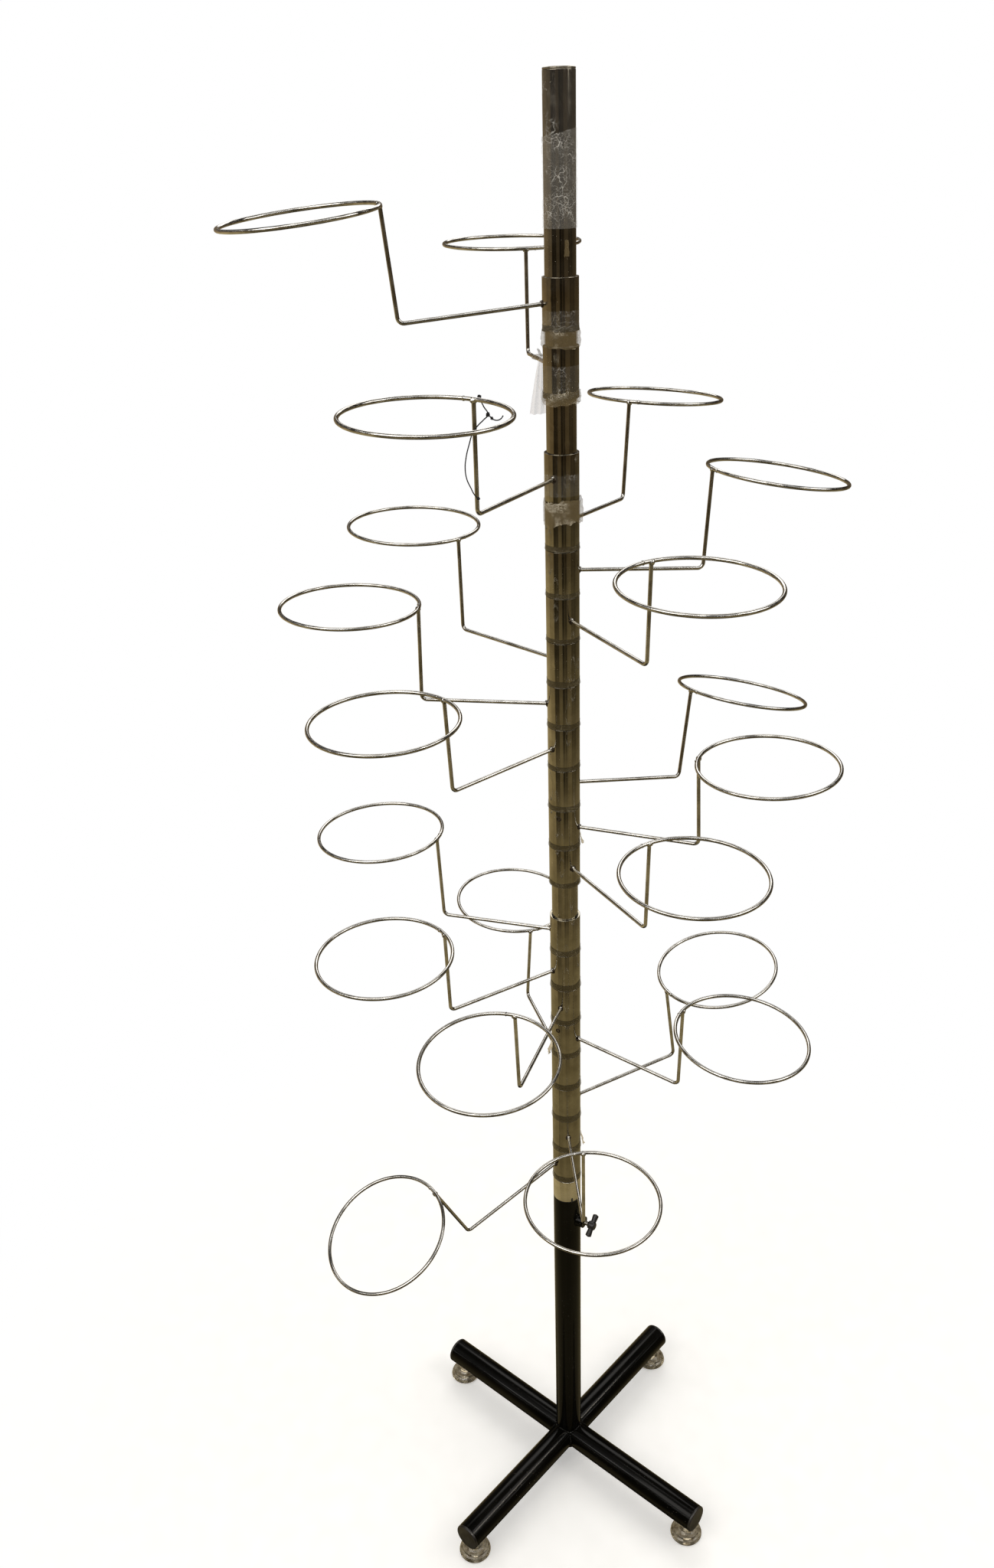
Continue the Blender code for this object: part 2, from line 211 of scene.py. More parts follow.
# chrome-plated steel tube: a dark mirror with drawn lines, finger smears, dust and shallow dimples
def chromedTube(name, settings):
    material, tree, shader, place = newMaterial(name, Metallic=1.0)
    # lines about 1 mm apart, some 70 mm long: real ones are finer and wouldn't show
    drawn = addNode(tree, "ShaderNodeMapping", {"Scale": (900, 900, 14)}, {"Vector": place})
    lines = addNode(tree, "ShaderNodeTexNoise", {"Scale": 1, "Detail": 3}, {"Vector": drawn.outputs[0]})
    smears = addNode(
        tree, "ShaderNodeTexNoise", {"Scale": 55, "Detail": 4, "Roughness": 0.6}, {"Vector": place}
    )
    dust = addNode(
        tree, "ShaderNodeTexVoronoi", {"Scale": 1 / (settings["dustSpacing"] * mm)}, {"Vector": place}
    )
    speck = addNode(
        tree,
        "ShaderNodeValToRGB",
        {"stops": [(0.0, 1.0), (settings["dustSize"], 0.7), (settings["dustSize"] + 0.03, 0.0)]},
        {"Fac": dust.outputs["Distance"]},
    )
    patchy = addNode(tree, "ShaderNodeTexNoise", {"Scale": 24, "Detail": 2}, {"Vector": place})
    where = addNode(
        tree, "ShaderNodeValToRGB", {"stops": [(0.46, 0.0), (0.62, 1.0)]}, {"Fac": patchy.outputs[0]}
    )
    specks = addNode(
        tree, "ShaderNodeMath", {"operation": "MULTIPLY"}, {0: speck.outputs[0], 1: where.outputs[0]}
    )
    plating = addNode(
        tree,
        "ShaderNodeValToRGB",
        {"stops": [(0.3, linear(settings["dull"])), (0.7, linear(settings["bright"]))]},
        {"Fac": smears.outputs[0]},
    )
    colour = addNode(
        tree,
        "ShaderNodeMix",
        {"data_type": "RGBA", 7: linear("#d8d2c4")},
        {0: specks.outputs[0], 6: plating.outputs[0]},
    )
    polish = addNode(
        tree,
        "ShaderNodeMapRange",
        {"From Min": 0.3, "From Max": 0.75, "To Min": settings["polish"], "To Max": settings["smeared"]},
        {"Value": smears.outputs[0]},
    )
    rough = addNode(
        tree,
        "ShaderNodeMath",
        {"operation": "MULTIPLY_ADD", 1: 0.45},
        {0: specks.outputs[0], 2: polish.outputs[0]},
    )
    dents = addNode(tree, "ShaderNodeTexVoronoi", {"Scale": 42}, {"Vector": place})  # one in each 24 mm
    dent = addNode(
        tree,
        "ShaderNodeMapRange",
        {"From Max": 0.16, "To Min": -1.0, "To Max": 0.0},
        {"Value": dents.outputs["Distance"]},
    )
    waves = addNode(tree, "ShaderNodeTexNoise", {"Scale": 38, "Detail": 1}, {"Vector": place})
    relief = addNode(
        tree,
        "ShaderNodeMath",
        {"operation": "MULTIPLY_ADD", 1: 0.10},
        {0: lines.outputs[0], 2: dent.outputs[0]},
    )
    relief = addNode(
        tree,
        "ShaderNodeMath",
        {"operation": "MULTIPLY_ADD", 1: 1.6},
        {0: waves.outputs[0], 2: relief.outputs[0]},
    )
    bump = addNode(
        tree,
        "ShaderNodeBump",
        {"Strength": 1.0, "Distance": settings["relief"] * mm},
        {"Height": relief.outputs[0]},
    )
    tree.links.new(colour.outputs[2], shader.inputs["Base Color"])
    tree.links.new(rough.outputs[0], shader.inputs["Roughness"])
    tree.links.new(bump.outputs[0], shader.inputs["Normal"])
    return material


# a simple finish: one noise sets its colour and roughness, and its bump unless finer pits or grain do
def grainedFinish(name, look):
    material, tree, shader, place = newMaterial(name, **look["sockets"])
    if "turned" in look:
        place = addNode(tree, "ShaderNodeMapping", {"Scale": look["turned"]}, {"Vector": place}).outputs[0]
    blotches = addNode(tree, "ShaderNodeTexNoise", look["noise"], {"Vector": place})
    (low, dark), (high, light) = look["colours"]
    stops = [(low, linear(dark)), (high, linear(light))]
    colour = addNode(tree, "ShaderNodeValToRGB", {"stops": stops}, {"Fac": blotches.outputs[0]})
    tree.links.new(colour.outputs[0], shader.inputs["Base Color"])
    if "roughness" in look:
        rough = addNode(tree, "ShaderNodeMapRange", look["roughness"], {"Value": blotches.outputs[0]})
        tree.links.new(rough.outputs[0], shader.inputs["Roughness"])
    relief = blotches
    if "relief" in look:
        kind, settings = look["relief"]
        relief = addNode(tree, kind, settings, {"Vector": place})
    strength, depth = look["bump"]
    bump = addNode(
        tree,
        "ShaderNodeBump",
        {"Strength": strength, "Distance": depth * mm},
        {"Height": relief.outputs[0]},
    )
    tree.links.new(bump.outputs[0], shader.inputs["Normal"])
    return material


finishes = {
    # chrome on 4 mm wire: bright, with faint pits 1.4 mm apart and grey bloom where hands have held it
    "chromePlatedWire": {
        "sockets": {"Metallic": 1.0},
        "noise": {"Scale": 60, "Detail": 5, "Roughness": 0.65},
        "colours": ((0.32, "#96938d"), (0.6, "#cfcdc8")),
        "roughness": {"From Min": 0.35, "From Max": 0.75, "To Min": 0.07, "To Max": 0.24},
        "relief": ("ShaderNodeTexVoronoi", {"Scale": 700}),
        "bump": (0.25, 0.05),  # strength, and depth in mm
    },
    # weld scale under thin plating, dark brown-grey and rough; round each arm's root it is also painted
    # shade, standing in for the dark hole where the wire goes in
    "weldScaleAndShade": {
        "sockets": {"Metallic": 0.85},
        "noise": {"Scale": 900, "Detail": 4},
        "colours": ((0.35, "#1a1410"), (0.65, "#5b4f42")),
        "roughness": {"To Min": 0.3, "To Max": 0.7},
        "bump": (0.6, 0.2),
    },
    # moulded black polythene: a softer black than the enamel, with a fine grain
    "mouldedBlackPlastic": {
        "sockets": {"IOR": 1.5},
        "noise": {"Scale": 70, "Detail": 4},
        "colours": ((0.35, "#0c0b0a"), (0.75, "#26231f")),
        "roughness": {"To Min": 0.28, "To Max": 0.5},
        "relief": ("ShaderNodeTexNoise", {"Scale": 1100, "Detail": 3}),
        "bump": (0.3, 0.06),
    },
    # clear moulded PVC, tinted a dark brown that paints in the shade of the dark leg and room seen through
    # it: glassy, with cloudy streaks and scuffs underneath
    "clearMouldedPlastic": {
        "sockets": {"IOR": 1.53, "Transmission_Weight": 0.92},
        "noise": {"Scale": 160, "Detail": 4},
        "colours": ((0.35, "#7a6a4c"), (0.7, "#ddd4bd")),
        "roughness": {"From Min": 0.3, "From Max": 0.8, "To Min": 0.04, "To Max": 0.3},
        "bump": (0.3, 0.15),
    },
    # zinc-plated steel: a soft grey metal with a blotchy bloom
    "zincPlatedSteel": {
        "sockets": {"Metallic": 1.0},
        "noise": {"Scale": 300, "Detail": 4},
        "colours": ((0.3, "#77756f"), (0.7, "#b4b1a8")),
        "roughness": {"To Min": 0.2, "To Max": 0.5},
        "bump": (0.2, 0.05),
    },
    # natural nylon: cream and slightly waxy, with faint rings from the lathe
    "turnedNaturalNylon": {
        "sockets": {"IOR": 1.53},
        "turned": (90, 90, 1400),
        "noise": {"Scale": 1, "Detail": 3},
        "colours": ((0.35, "#d6cbb0"), (0.7, "#e9e1cc")),
        "roughness": {"To Min": 0.35, "To Max": 0.55},
        "bump": (0.3, 0.05),
    },
    # twisted cotton thread, dyed black: matt, with the twist showing as a faint ripple
    "blackCottonThread": {
        "sockets": {"Roughness": 0.85},
        "noise": {"Scale": 1500, "Detail": 2},
        "colours": ((0.35, "#080707"), (0.7, "#201d1b")),
        "bump": (0.5, 0.1),
    },
}


# stoved black enamel on steel: deep black with a shine that wear has weakened, faint orange peel,
# smears and pale dust
def blackEnamel():
    material, tree, shader, place = newMaterial("glossBlackEnamel", IOR=1.5, Specular_IOR_Level=0.13)
    smears = addNode(
        tree, "ShaderNodeTexNoise", {"Scale": 26, "Detail": 5, "Roughness": 0.6}, {"Vector": place}
    )
    rough = addNode(
        tree,
        "ShaderNodeMapRange",
        {"From Min": 0.3, "From Max": 0.75, "To Min": 0.10, "To Max": 0.2},
        {"Value": smears.outputs[0]},
    )
    # dust grains up to 4 mm apart
    dust = addNode(tree, "ShaderNodeTexVoronoi", {"Scale": 260}, {"Vector": place})
    speck = addNode(
        tree, "ShaderNodeValToRGB", {"stops": [(0.05, 0.8), (0.10, 0.0)]}, {"Fac": dust.outputs["Distance"]}
    )
    patchy = addNode(tree, "ShaderNodeTexNoise", {"Scale": 19, "Detail": 3}, {"Vector": place})
    where = addNode(
        tree, "ShaderNodeValToRGB", {"stops": [(0.5, 0.0), (0.68, 1.0)]}, {"Fac": patchy.outputs[0]}
    )
    specks = addNode(
        tree, "ShaderNodeMath", {"operation": "MULTIPLY"}, {0: speck.outputs[0], 1: where.outputs[0]}
    )
    coat = addNode(
        tree,
        "ShaderNodeValToRGB",
        {"stops": [(0.3, linear("#020201")), (0.8, linear("#080705"))]},
        {"Fac": smears.outputs[0]},
    )
    colour = addNode(
        tree,
        "ShaderNodeMix",
        {"data_type": "RGBA", 7: linear("#8d8678")},
        {0: specks.outputs[0], 6: coat.outputs[0]},
    )
    # orange peel, a ripple of 2 to 3 mm
    peel = addNode(tree, "ShaderNodeTexNoise", {"Scale": 420, "Detail": 1}, {"Vector": place})
    bump = addNode(
        tree, "ShaderNodeBump", {"Strength": 0.15, "Distance": 0.05 * mm}, {"Height": peel.outputs[0]}
    )
    tree.links.new(colour.outputs[2], shader.inputs["Base Color"])
    tree.links.new(rough.outputs[0], shader.inputs["Roughness"])
    tree.links.new(bump.outputs[0], shader.inputs["Normal"])
    return material


# packing film or tape: clear between its creases, which are painted pale and more opaque as thin lines, a
# painted highlight that stands in for the glints on the folds
def filmOf(name, settings):
    material, tree, shader, place = newMaterial(name, IOR=1.5)
    drift = addNode(tree, "ShaderNodeTexNoise", {"Scale": 110, "Detail": 2}, {"Vector": place})
    moved = addNode(
        tree,
        "ShaderNodeMix",
        {"data_type": "RGBA", "blend_type": "LINEAR_LIGHT", 0: settings["drift"]},
        {6: place, 7: drift.outputs["Color"]},
    )
    patchy = addNode(
        tree, "ShaderNodeTexNoise", {"Scale": settings["patches"], "Detail": 4}, {"Vector": place}
    )
    where = addNode(
        tree,
        "ShaderNodeValToRGB",
        {"stops": [(settings["bare"], 0.0), (settings["bare"] + 0.09, 1.0)]},
        {"Fac": patchy.outputs[0]},
    )
    # two sets of creases, one long and slanting, one short
    folds = None
    for tilt, stretch, shrink in ((0.5, settings["stretch"], 1.0), (-0.7, 1.6, 0.55)):
        slant = addNode(
            tree,
            "ShaderNodeMapping",
            {"Rotation": (tilt, 0.3 * tilt, 0.4), "Scale": (1, 1, stretch)},
            {"Vector": moved.outputs[2]},
        )
        cells = addNode(
            tree,
            "ShaderNodeTexVoronoi",
            {"feature": "DISTANCE_TO_EDGE", "Scale": 1 / (settings["creaseSpacing"] * shrink * mm)},
            {"Vector": slant.outputs[0]},
        )
        width = settings["creaseWidth"]
        line = addNode(
            tree,
            "ShaderNodeValToRGB",
            {"stops": [(0.0, 1.0), (width, 0.3), (width * 2.2, 0.0)]},
            {"Fac": cells.outputs["Distance"]},
        )
        crease = line.outputs[0]
        if folds:
            both = addNode(tree, "ShaderNodeMath", {"operation": "MAXIMUM"}, {0: folds, 1: crease})
            crease = both.outputs[0]
        folds = crease
    creases = addNode(tree, "ShaderNodeMath", {"operation": "MULTIPLY"}, {0: folds, 1: where.outputs[0]})
    alpha = addNode(
        tree,
        "ShaderNodeMapRange",
        {"To Min": settings["clear"], "To Max": settings["creased"]},
        {"Value": creases.outputs[0]},
    )
    # painted highlight: the creases take the pale crease colour where the folds would glint
    colour = addNode(
        tree,
        "ShaderNodeMix",
        {"data_type": "RGBA", 6: linear(settings["film"]), 7: linear(settings["crease"])},
        {0: creases.outputs[0]},
    )
    rough = addNode(
        tree, "ShaderNodeMapRange", {"To Min": 0.1, "To Max": 0.35}, {"Value": patchy.outputs[0]}
    )
    bump = addNode(
        tree,
        "ShaderNodeBump",
        {"Strength": 0.8, "Distance": 0.3 * mm},
        {"Height": cells.outputs["Distance"]},
    )
    tree.links.new(colour.outputs[2], shader.inputs["Base Color"])
    tree.links.new(alpha.outputs[0], shader.inputs["Alpha"])
    tree.links.new(rough.outputs[0], shader.inputs["Roughness"])
    tree.links.new(bump.outputs[0], shader.inputs["Normal"])
    return material


tubeLook = {
    "dull": "#8d8779",
    "bright": "#a8a396",
    "polish": 0.05,
    "smeared": 0.15,
    "relief": 0.10,  # mm
    "dustSpacing": 3.5,  # mm
    "dustSize": 0.07,
}
stopLook = {**tubeLook, "dull": "#cfcabd", "bright": "#efece4", "polish": 0.12, "smeared": 0.3}
# in each look, "crease" is a painted highlight colour for the glints on the folds, and "creased" is how
# opaque the film is along them
filmLook = {
    "film": "#d8d2c6",
    "crease": "#e8e4da",
    "clear": 0.05,
    "creased": 0.45,
    "creaseSpacing": 8.0,  # mm
    "creaseWidth": 0.012,
    "stretch": 0.45,
    "drift": 0.006,
    "patches": 45,
    "bare": 0.43,
}
smoothLook = {
    **filmLook, "clear": 0.012, "creased": 0.3, "creaseSpacing": 16, "creaseWidth": 0.01, "bare": 0.53
}
collarLook = {
    **filmLook, "clear": 0.015, "creased": 0.32, "creaseSpacing": 11, "creaseWidth": 0.008, "bare": 0.5
}
rollLook = {
    **filmLook,
    "film": "#7d6c4b",
    "crease": "#e6ddc6",
    "clear": 0.3,
    "creased": 0.85,
    "creaseSpacing": 4.5,
    "creaseWidth": 0.03,
    "stretch": 3.2,
    "bare": 0.5,
}
# a dark olive-brown band of film at each collar's lower end
skirtLook = {**filmLook, "film": "#463c25", "crease": "#93876a", "clear": 0.4, "creased": 0.6, "bare": 0.52}
tailLook = {
    **filmLook, "film": "#cfc4bb", "crease": "#f4efe6", "clear": 0.42, "creased": 0.8, "stretch": 0.25
}
tapeLook = {**filmLook, "film": "#d9ccb0", "crease": "#f6efdf", "clear": 0.9, "creased": 0.97}

tubeChrome = chromedTube("chromePlatedTube", tubeLook)
stopChrome = chromedTube("satinChromeRing", stopLook)
enamel = blackEnamel()
wireChrome, weldAndShade, plastic, clear, zinc, nylon, cotton = (grainedFinish(*item) for item in finishes.items())
sleeveFilm = filmOf("stretchFilmCrinkled", filmLook)
smoothFilm = filmOf("stretchFilmSmooth", smoothLook)
collarFilm = filmOf("stretchFilmOnCollar", collarLook)
rollFilm = filmOf("stretchFilmRolled", rollLook)
skirtFilm = filmOf("darkBrownFilmEnd", skirtLook)
tailFilm = filmOf("stretchFilmTail", tailLook)
tape = filmOf("maskingTapeScrap", tapeLook)
print("materials:", len(bpy.data.materials), "made")

pole = {"radius": 15.0, "wall": 1.5, "edge": 0.5, "steps": 128}  # mm


def buildPole():
    low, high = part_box("pole")
    capLow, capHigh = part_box("pole_cap")
    outer, inner = pole["radius"] * mm, (pole["radius"] - pole["wall"]) * mm
    bm = bmesh.new()
    shell = [(inner, low.z), (outer, low.z), (outer, high.z), (inner, high.z)]
    addTurned(bm, softened(shell, pole["edge"] * mm, True), pole["steps"], closed=True)
    makePiece("poleTube", bm, [tubeChrome], "pole", "chrome_tube", "pole")

    bm = bmesh.new()
    lid = [
        (0, capLow.z),
        (inner - 0.2 * mm, capLow.z),
        (inner - 0.2 * mm, high.z + 0.1 * mm),
        (outer, high.z + 0.1 * mm),
        (outer, capHigh.z - 0.8 * mm),
        (outer - 1.5 * mm, capHigh.z),
        (0, capHigh.z),
    ]
    addTurned(bm, softened(lid, 0.6 * mm), pole["steps"])
    makePiece("poleTopPlug", bm, [tubeChrome], "pole", "chrome_tube", "pole_cap")

    ringLow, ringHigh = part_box("stop_ring")
    bm = bmesh.new()
    bore = outer + 0.3 * mm
    band = [(bore, ringLow.z), (ringHigh.x, ringLow.z), (ringHigh.x, ringHigh.z), (bore, ringHigh.z)]
    addTurned(bm, softened(band, 0.7 * mm, True), pole["steps"], closed=True)
    makePiece("stopRingBand", bm, [stopChrome], "pole", "chrome_tube", "stop_ring")

    # the bush inside the post, which the pole turns on, keeps its CAD shape
    bush = frame["nodes"]["pole_foot"].data
    bush.materials.clear()
    bush.materials.append(nylon)


buildPole()
print("pole, plug and stop ring built")

collar = {
    "bore": 15.35,  # mm
    "radius": 17.5,
    "edge": 0.3,
    "steps": 128,
    "setScrews": {11: -90, 16: -90},  # collar: degrees from its arm
    "setScrewDrop": 9.0,  # below the collar's top
    "skirtHeight": 6.5,
    "skirtSpread": 0.45,
    "underRope": (3,),  # its end is hidden by gathered film
}

# one line for each holder, top to bottom, in degrees:
# arm's azimuth, arm's droop, upright's lean, ring's tip, twist about the arm
holders = [
    (184, 5, 6, 6, -2),
    (97, 2, 1, -1, 0),
    (234, 1, 3, 1, -2),
    (58, 4, 3, 5, 2),
    (10, 5, 4, 9, -1),
    (295, 2, 2, 3, 0),
    (131, 0, 1, -2, 0),
    (170, -1, -1, -1, 0),
    (216, 2, 3, 2, 0),
    (23, 11, 10, 14, -4),
    (334, -1, -2, -1, 1),
    (297, 3, 2, 3, 0),
    (155, 3, 2, 2, -1),
    (206, 2, 2, 3, -1),
    (244, 7, 4, 7, 0),
    (321, 4, 1, 6, -1),
    (103, -2, -4, -4, 2),
    (20, -7, -8, -9, 1),
    (271, 5, -2, 3, 0),
    (206, 21, 27, 25, -5),
]


def buildCollar(number, azimuth):
    name = f"collar_{number:02d}"
    low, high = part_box(name)
    radius, bore = collar["radius"] * mm, collar["bore"] * mm
    bm = bmesh.new()
    sleeve = [(bore, low.z), (radius, low.z), (radius, high.z), (bore, high.z)]
    addTurned(bm, softened(sleeve, collar["edge"] * mm, True), collar["steps"], closed=True)
    if number in collar["setScrews"]:
        spot = up * (high.z - collar["setScrewDrop"] * mm)
        out = turned(azimuth + collar["setScrews"][number]) @ Vector((1, 0, 0))
        place = Matrix.Translation(spot + out * radius) @ out.to_track_quat("Z", "X").to_matrix().to_4x4()
        head = [(0, -0.9), (1.3, -0.9), (1.3, 0.4), (2.5, 0.6), (2.9, 0.25), (2.9, -1.0)]
        addTurned(bm, softened([(r * mm, h * mm) for r, h in head], 0.15 * mm), 24, place, 1)
        socket = [(0, -0.8), (1.4, -0.8), (1.4, 0.45)]  # hexagon, 2.5 mm across
        addTurned(bm, [(r * mm, h * mm) for r, h in socket], 6, place, 1)
    makePiece(f"collarSleeve{number:02d}", bm, [tubeChrome, weldAndShade], name, "chrome_tube", name)


# the film left round a collar's lower end, stretched tight above and gathered below
def buildSkirt(number):
    low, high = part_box(f"collar_{number:02d}")
    heavy = 1.35 if number > 12 else 1.0
    tall = collar["skirtHeight"] * mm * (0.85 + 0.3 * noise.noise(Vector((number * 3.1, 0, 0)))) * heavy
    spread = collar["skirtSpread"] * mm * heavy
    base = collar["radius"] * mm
    steps, rows = 128, 9
    bm = bmesh.new()
    grid = []
    for row in range(rows + 1):
        share = row / rows  # 0 at the lower edge
        line = []
        for step in range(steps):
            angle = 2 * math.pi * step / steps
            spot = Vector((math.cos(angle) * 1.6, math.sin(angle) * 1.6, number * 5.3))
            edge = noise.noise(spot)
            fine = noise.noise(spot * 4.5 + Vector((0, 0, share * 1.5)))
            height = share * tall * (1 + 0.16 * edge) + 0.35 * mm * (1 - share) * (1 + fine)
            flare = spread * (1 - share) ** 1.6 * (1 + 0.7 * edge) + 0.12 * mm
            bead = 0.22 * mm * (share > 0.99) + 0.25 * mm * (share < 0.12)
            ripple = 0.12 * mm * fine * (1 - share)
            reach = base + max(0.08 * mm, flare + bead + ripple)
            line.append(bm.verts.new((reach * math.cos(angle), reach * math.sin(angle), low.z + height)))
        grid.append(line)
    addGrid(bm, grid, around=True)
    piece = makePiece(
        f"collarFilmEnd{number:02d}", bm, [skirtFilm], f"collar_{number:02d}", "clear_plastic"
    )
    thicken(piece, 0.12)


def thicken(piece, thickness):
    solid = piece.modifiers.new("filmThickness", "SOLIDIFY")
    solid.thickness = thickness * mm
    solid.offset = 1


wire = {
    "radius": 2.0,  # mm
    "armStart": 18.1,
    "armLength": 136.0,
    "riser": 104.0,
    "ringRadius": 73.5,
    "elbow": 6.0,
    "sides": 14,
    "ringSteps": 144,
}


# points of an arc that rounds the corner between two directions
def roundedCorner(corner, back, ahead, radius, steps=9):
    half = back.angle(ahead) / 2
    reach = radius / math.tan(half)
    centre = corner + (back + ahead).normalized() * radius / math.sin(half)
    start, end = corner + back * reach, corner + ahead * reach
    points = []
    for step in range(steps + 1):
        spoke = (start - centre).lerp(end - centre, step / steps)
        points.append(centre + spoke.normalized() * radius)
    return points


def holderFrame(number):
    azimuth, droop, lean, tip, twist = holders[number - 1]
    low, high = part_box(f"collar_{number:02d}")

    def aboutY(degrees):
        return Matrix.Rotation(math.radians(degrees), 3, "Y")

    arm = aboutY(droop) @ Vector((1, 0, 0))
    roll = Matrix.Rotation(math.radians(twist), 3, arm)
    upright = roll @ (aboutY(lean) @ up)
    outward = roll @ (aboutY(tip) @ Vector((1, 0, 0)))
    sideways = roll @ Vector((0, 1, 0))
    radius = wire["radius"] * mm
    root = Vector((wire["armStart"] * mm, 0, 0)) + arm * abs(math.sin(math.radians(droop))) * radius
    elbow = root + arm * wire["armLength"] * mm
    top = elbow + upright * wire["riser"] * mm
    centre = top + outward * wire["ringRadius"] * mm
    spin = turned(azimuth).to_3x3()
    lift = up * (low.z + high.z) / 2
    spots = [spin @ point + lift for point in (root, elbow, top, centre)]
    return spots, [spin @ way for way in (arm, upright, outward, sideways)]


def buildHolder(number):
    (root, elbow, top, centre), (arm, upright, outward, sideways) = holderFrame(number)
    radius = wire["radius"] * mm
    bm = bmesh.new()
    bend = roundedCorner(elbow, -arm, upright, wire["elbow"] * mm)
    normal = arm.cross(upright).normalized()
    path = [root - arm * 1.6 * mm, root.lerp(bend[0], 0.5)] + bend + [bend[-1].lerp(top, 0.5), top]
    addWire(bm, path, normal, radius, wire["sides"])
    ring = []
    for step in range(wire["ringSteps"]):
        angle = 2 * math.pi * step / wire["ringSteps"]
        sway = 1 + 0.004 * math.sin(2 * angle + number)  # hand-bent, so not quite round
        spoke = outward * math.cos(angle) + sideways * math.sin(angle)
        ring.append(centre + spoke * wire["ringRadius"] * mm * sway)
    addWire(bm, ring, outward.cross(sideways), radius, wire["sides"], closed=True)
    join = top - upright * 1.1 * mm + outward * 0.3 * mm
    addLump(bm, join, (outward, sideways, upright), (2.9 * mm, 3.3 * mm, 2.9 * mm), 0.3, number)
    seam = centre - outward.lerp(sideways, 0.12).normalized() * wire["ringRadius"] * mm
    addLump(bm, seam, (outward, sideways, upright), (2.3 * mm, 1.6 * mm, 2.3 * mm), 0.2, number + 0.5)
    flat = Vector((arm.x, arm.y, 0)).normalized()
    side = flat.cross(up)
    foot = flat * collar["radius"] * mm + up * root.z
    axes = (flat, side, up)
    # this dark lump is partly weld scale and partly painted shade: the shade in the hole round the arm's
    # root
    addLump(bm, foot + flat * 0.2 * mm, axes, (1.5 * mm, 3.4 * mm, 3.5 * mm), 0.35, number + 9, 1)
    drip = foot + flat * 1.1 * mm + up * 2.2 * mm
    addLump(bm, drip, axes, (1.3 * mm, 1.7 * mm, 1.2 * mm), 0.3, number)
    name = f"holder_{number:02d}"
    makePiece(
        f"ringHolder{number:02d}", bm, [wireChrome, weldAndShade], f"collar_{number:02d}", "chrome_wire", name
    )


for number, row in enumerate(holders, 1):
    buildCollar(number, row[0])
    if number not in collar["underRope"]:
        buildSkirt(number)
    buildHolder(number)
print("collars and holders:", len(holders), "of each")

base = {
    "postRadius": 17.5,  # mm
    "postBore": 15.5,
    "legRadius": 17.5,
    "legHeight": 40.0,
    "legStart": 2.0,
    "legReach": 216.0,
    "capDome": 1.4,
    "footReach": 204.0,
    "beadRadius": 1.5,
    "azimuths": (-45, 45, 135, 225),
}


def buildPost():
    low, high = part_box("post")
    outer, inner = base["postRadius"] * mm, base["postBore"] * mm
    bm = bmesh.new()
    shell = [(inner, low.z), (outer, low.z), (outer, high.z), (inner, high.z)]
    addTurned(bm, softened(shell, 0.6 * mm, True), 128, closed=True)
    # weld beads: over each leg where it meets the post, and down the seams between the legs
    middle = up * base["legHeight"] * mm
    for azimuth in base["azimuths"]:
        spin = turned(azimuth)
        bead = base["beadRadius"] * mm
        for turn in range(45, 136, 5):
            angle = math.radians(turn)
            spot = Vector((math.sin(angle), math.cos(angle), math.sin(angle))) * outer
            axes = (spin @ Vector((1, 0, 0)), spin @ Vector((0, 1, 0)), up)
            addLump(bm, spin @ spot + middle, axes, (bead, bead, bead), 0.5, turn + azimuth, detail=2)
        for step in range(-6, 7):
            drop = step / 6 * 0.7
            side = math.sqrt(1 - drop * drop)
            spot = Vector((side, side, drop)) * outer
            addLump(bm, spin @ spot + middle, axes, (bead, bead, bead), 0.5, step + azimuth, detail=2)
    makePiece("postTube", bm, [enamel], "base", "black_enamel", "post")


def buildLeg(number, azimuth):
    radius, wall = base["legRadius"] * mm, 1.5 * mm
    lie = turned(azimuth) @ Matrix.Rotation(math.radians(90), 4, "Y")
    place = Matrix.Translation(up * base["legHeight"] * mm) @ lie
    start, end = base["legStart"] * mm, base["legReach"] * mm
    bm = bmesh.new()
    shell = [(radius - wall, start), (radius, start), (radius, end), (radius - wall, end)]
    addTurned(bm, softened(shell, 0.5 * mm, True), 112, place, closed=True)
    makePiece(f"legTube{number}", bm, [enamel], "base", "black_enamel", f"leg_{number}")

    capEnd = end + 3.5 * mm
    bm = bmesh.new()
    plug = radius - wall - 0.2 * mm
    cap = [
        (0, end - 6.8 * mm),
        (plug, end - 6.8 * mm),
        (plug, end + 0.1 * mm),
        (radius, end + 0.1 * mm),
        (radius, capEnd - 1.2 * mm),
        (radius - 0.9 * mm, capEnd - 0.2 * mm),
        (radius - 3.0 * mm, capEnd),
        (radius * 0.5, capEnd + base["capDome"] * mm * 0.75),
        (0, capEnd + base["capDome"] * mm),
    ]
    addTurned(bm, softened(cap, 0.5 * mm), 112, place)
    makePiece(f"legCapDomed{number}", bm, [plastic], "base", "black_plastic", f"leg_cap_{number}")


footProfile = [  # radius and height in mm, from the floor up
    (0, 0),
    (19.8, 0),
    (21.0, 1.2),
    (21.0, 3.0),
    (20.3, 5.2),
    (19.9, 6.5),
    (17.2, 8.2),
    (16.5, 10.5),
    (13.0, 11.4),
    (10.4, 13.2),
    (8.6, 17.0),
    (8.0, 22.0),
    (4.0, 22.3),
    (4.0, 30.0),
    (0, 30.0),
]


def buildFoot(number, azimuth):
    spot = turned(azimuth) @ Vector((base["footReach"] * mm, 0, 0))
    bm = bmesh.new()
    profile = softened([(r * mm, h * mm) for r, h in footProfile], 0.8 * mm)
    addTurned(bm, profile, 72, Matrix.Translation(spot))
    makePiece(f"footClear{number}", bm, [clear], "base", "clear_plastic", f"foot_{number}")


buildPost()
for number, azimuth in enumerate(base["azimuths"], 1):
    buildLeg(number, azimuth)
    buildFoot(number, azimuth)
print("post, four legs, caps and feet built")

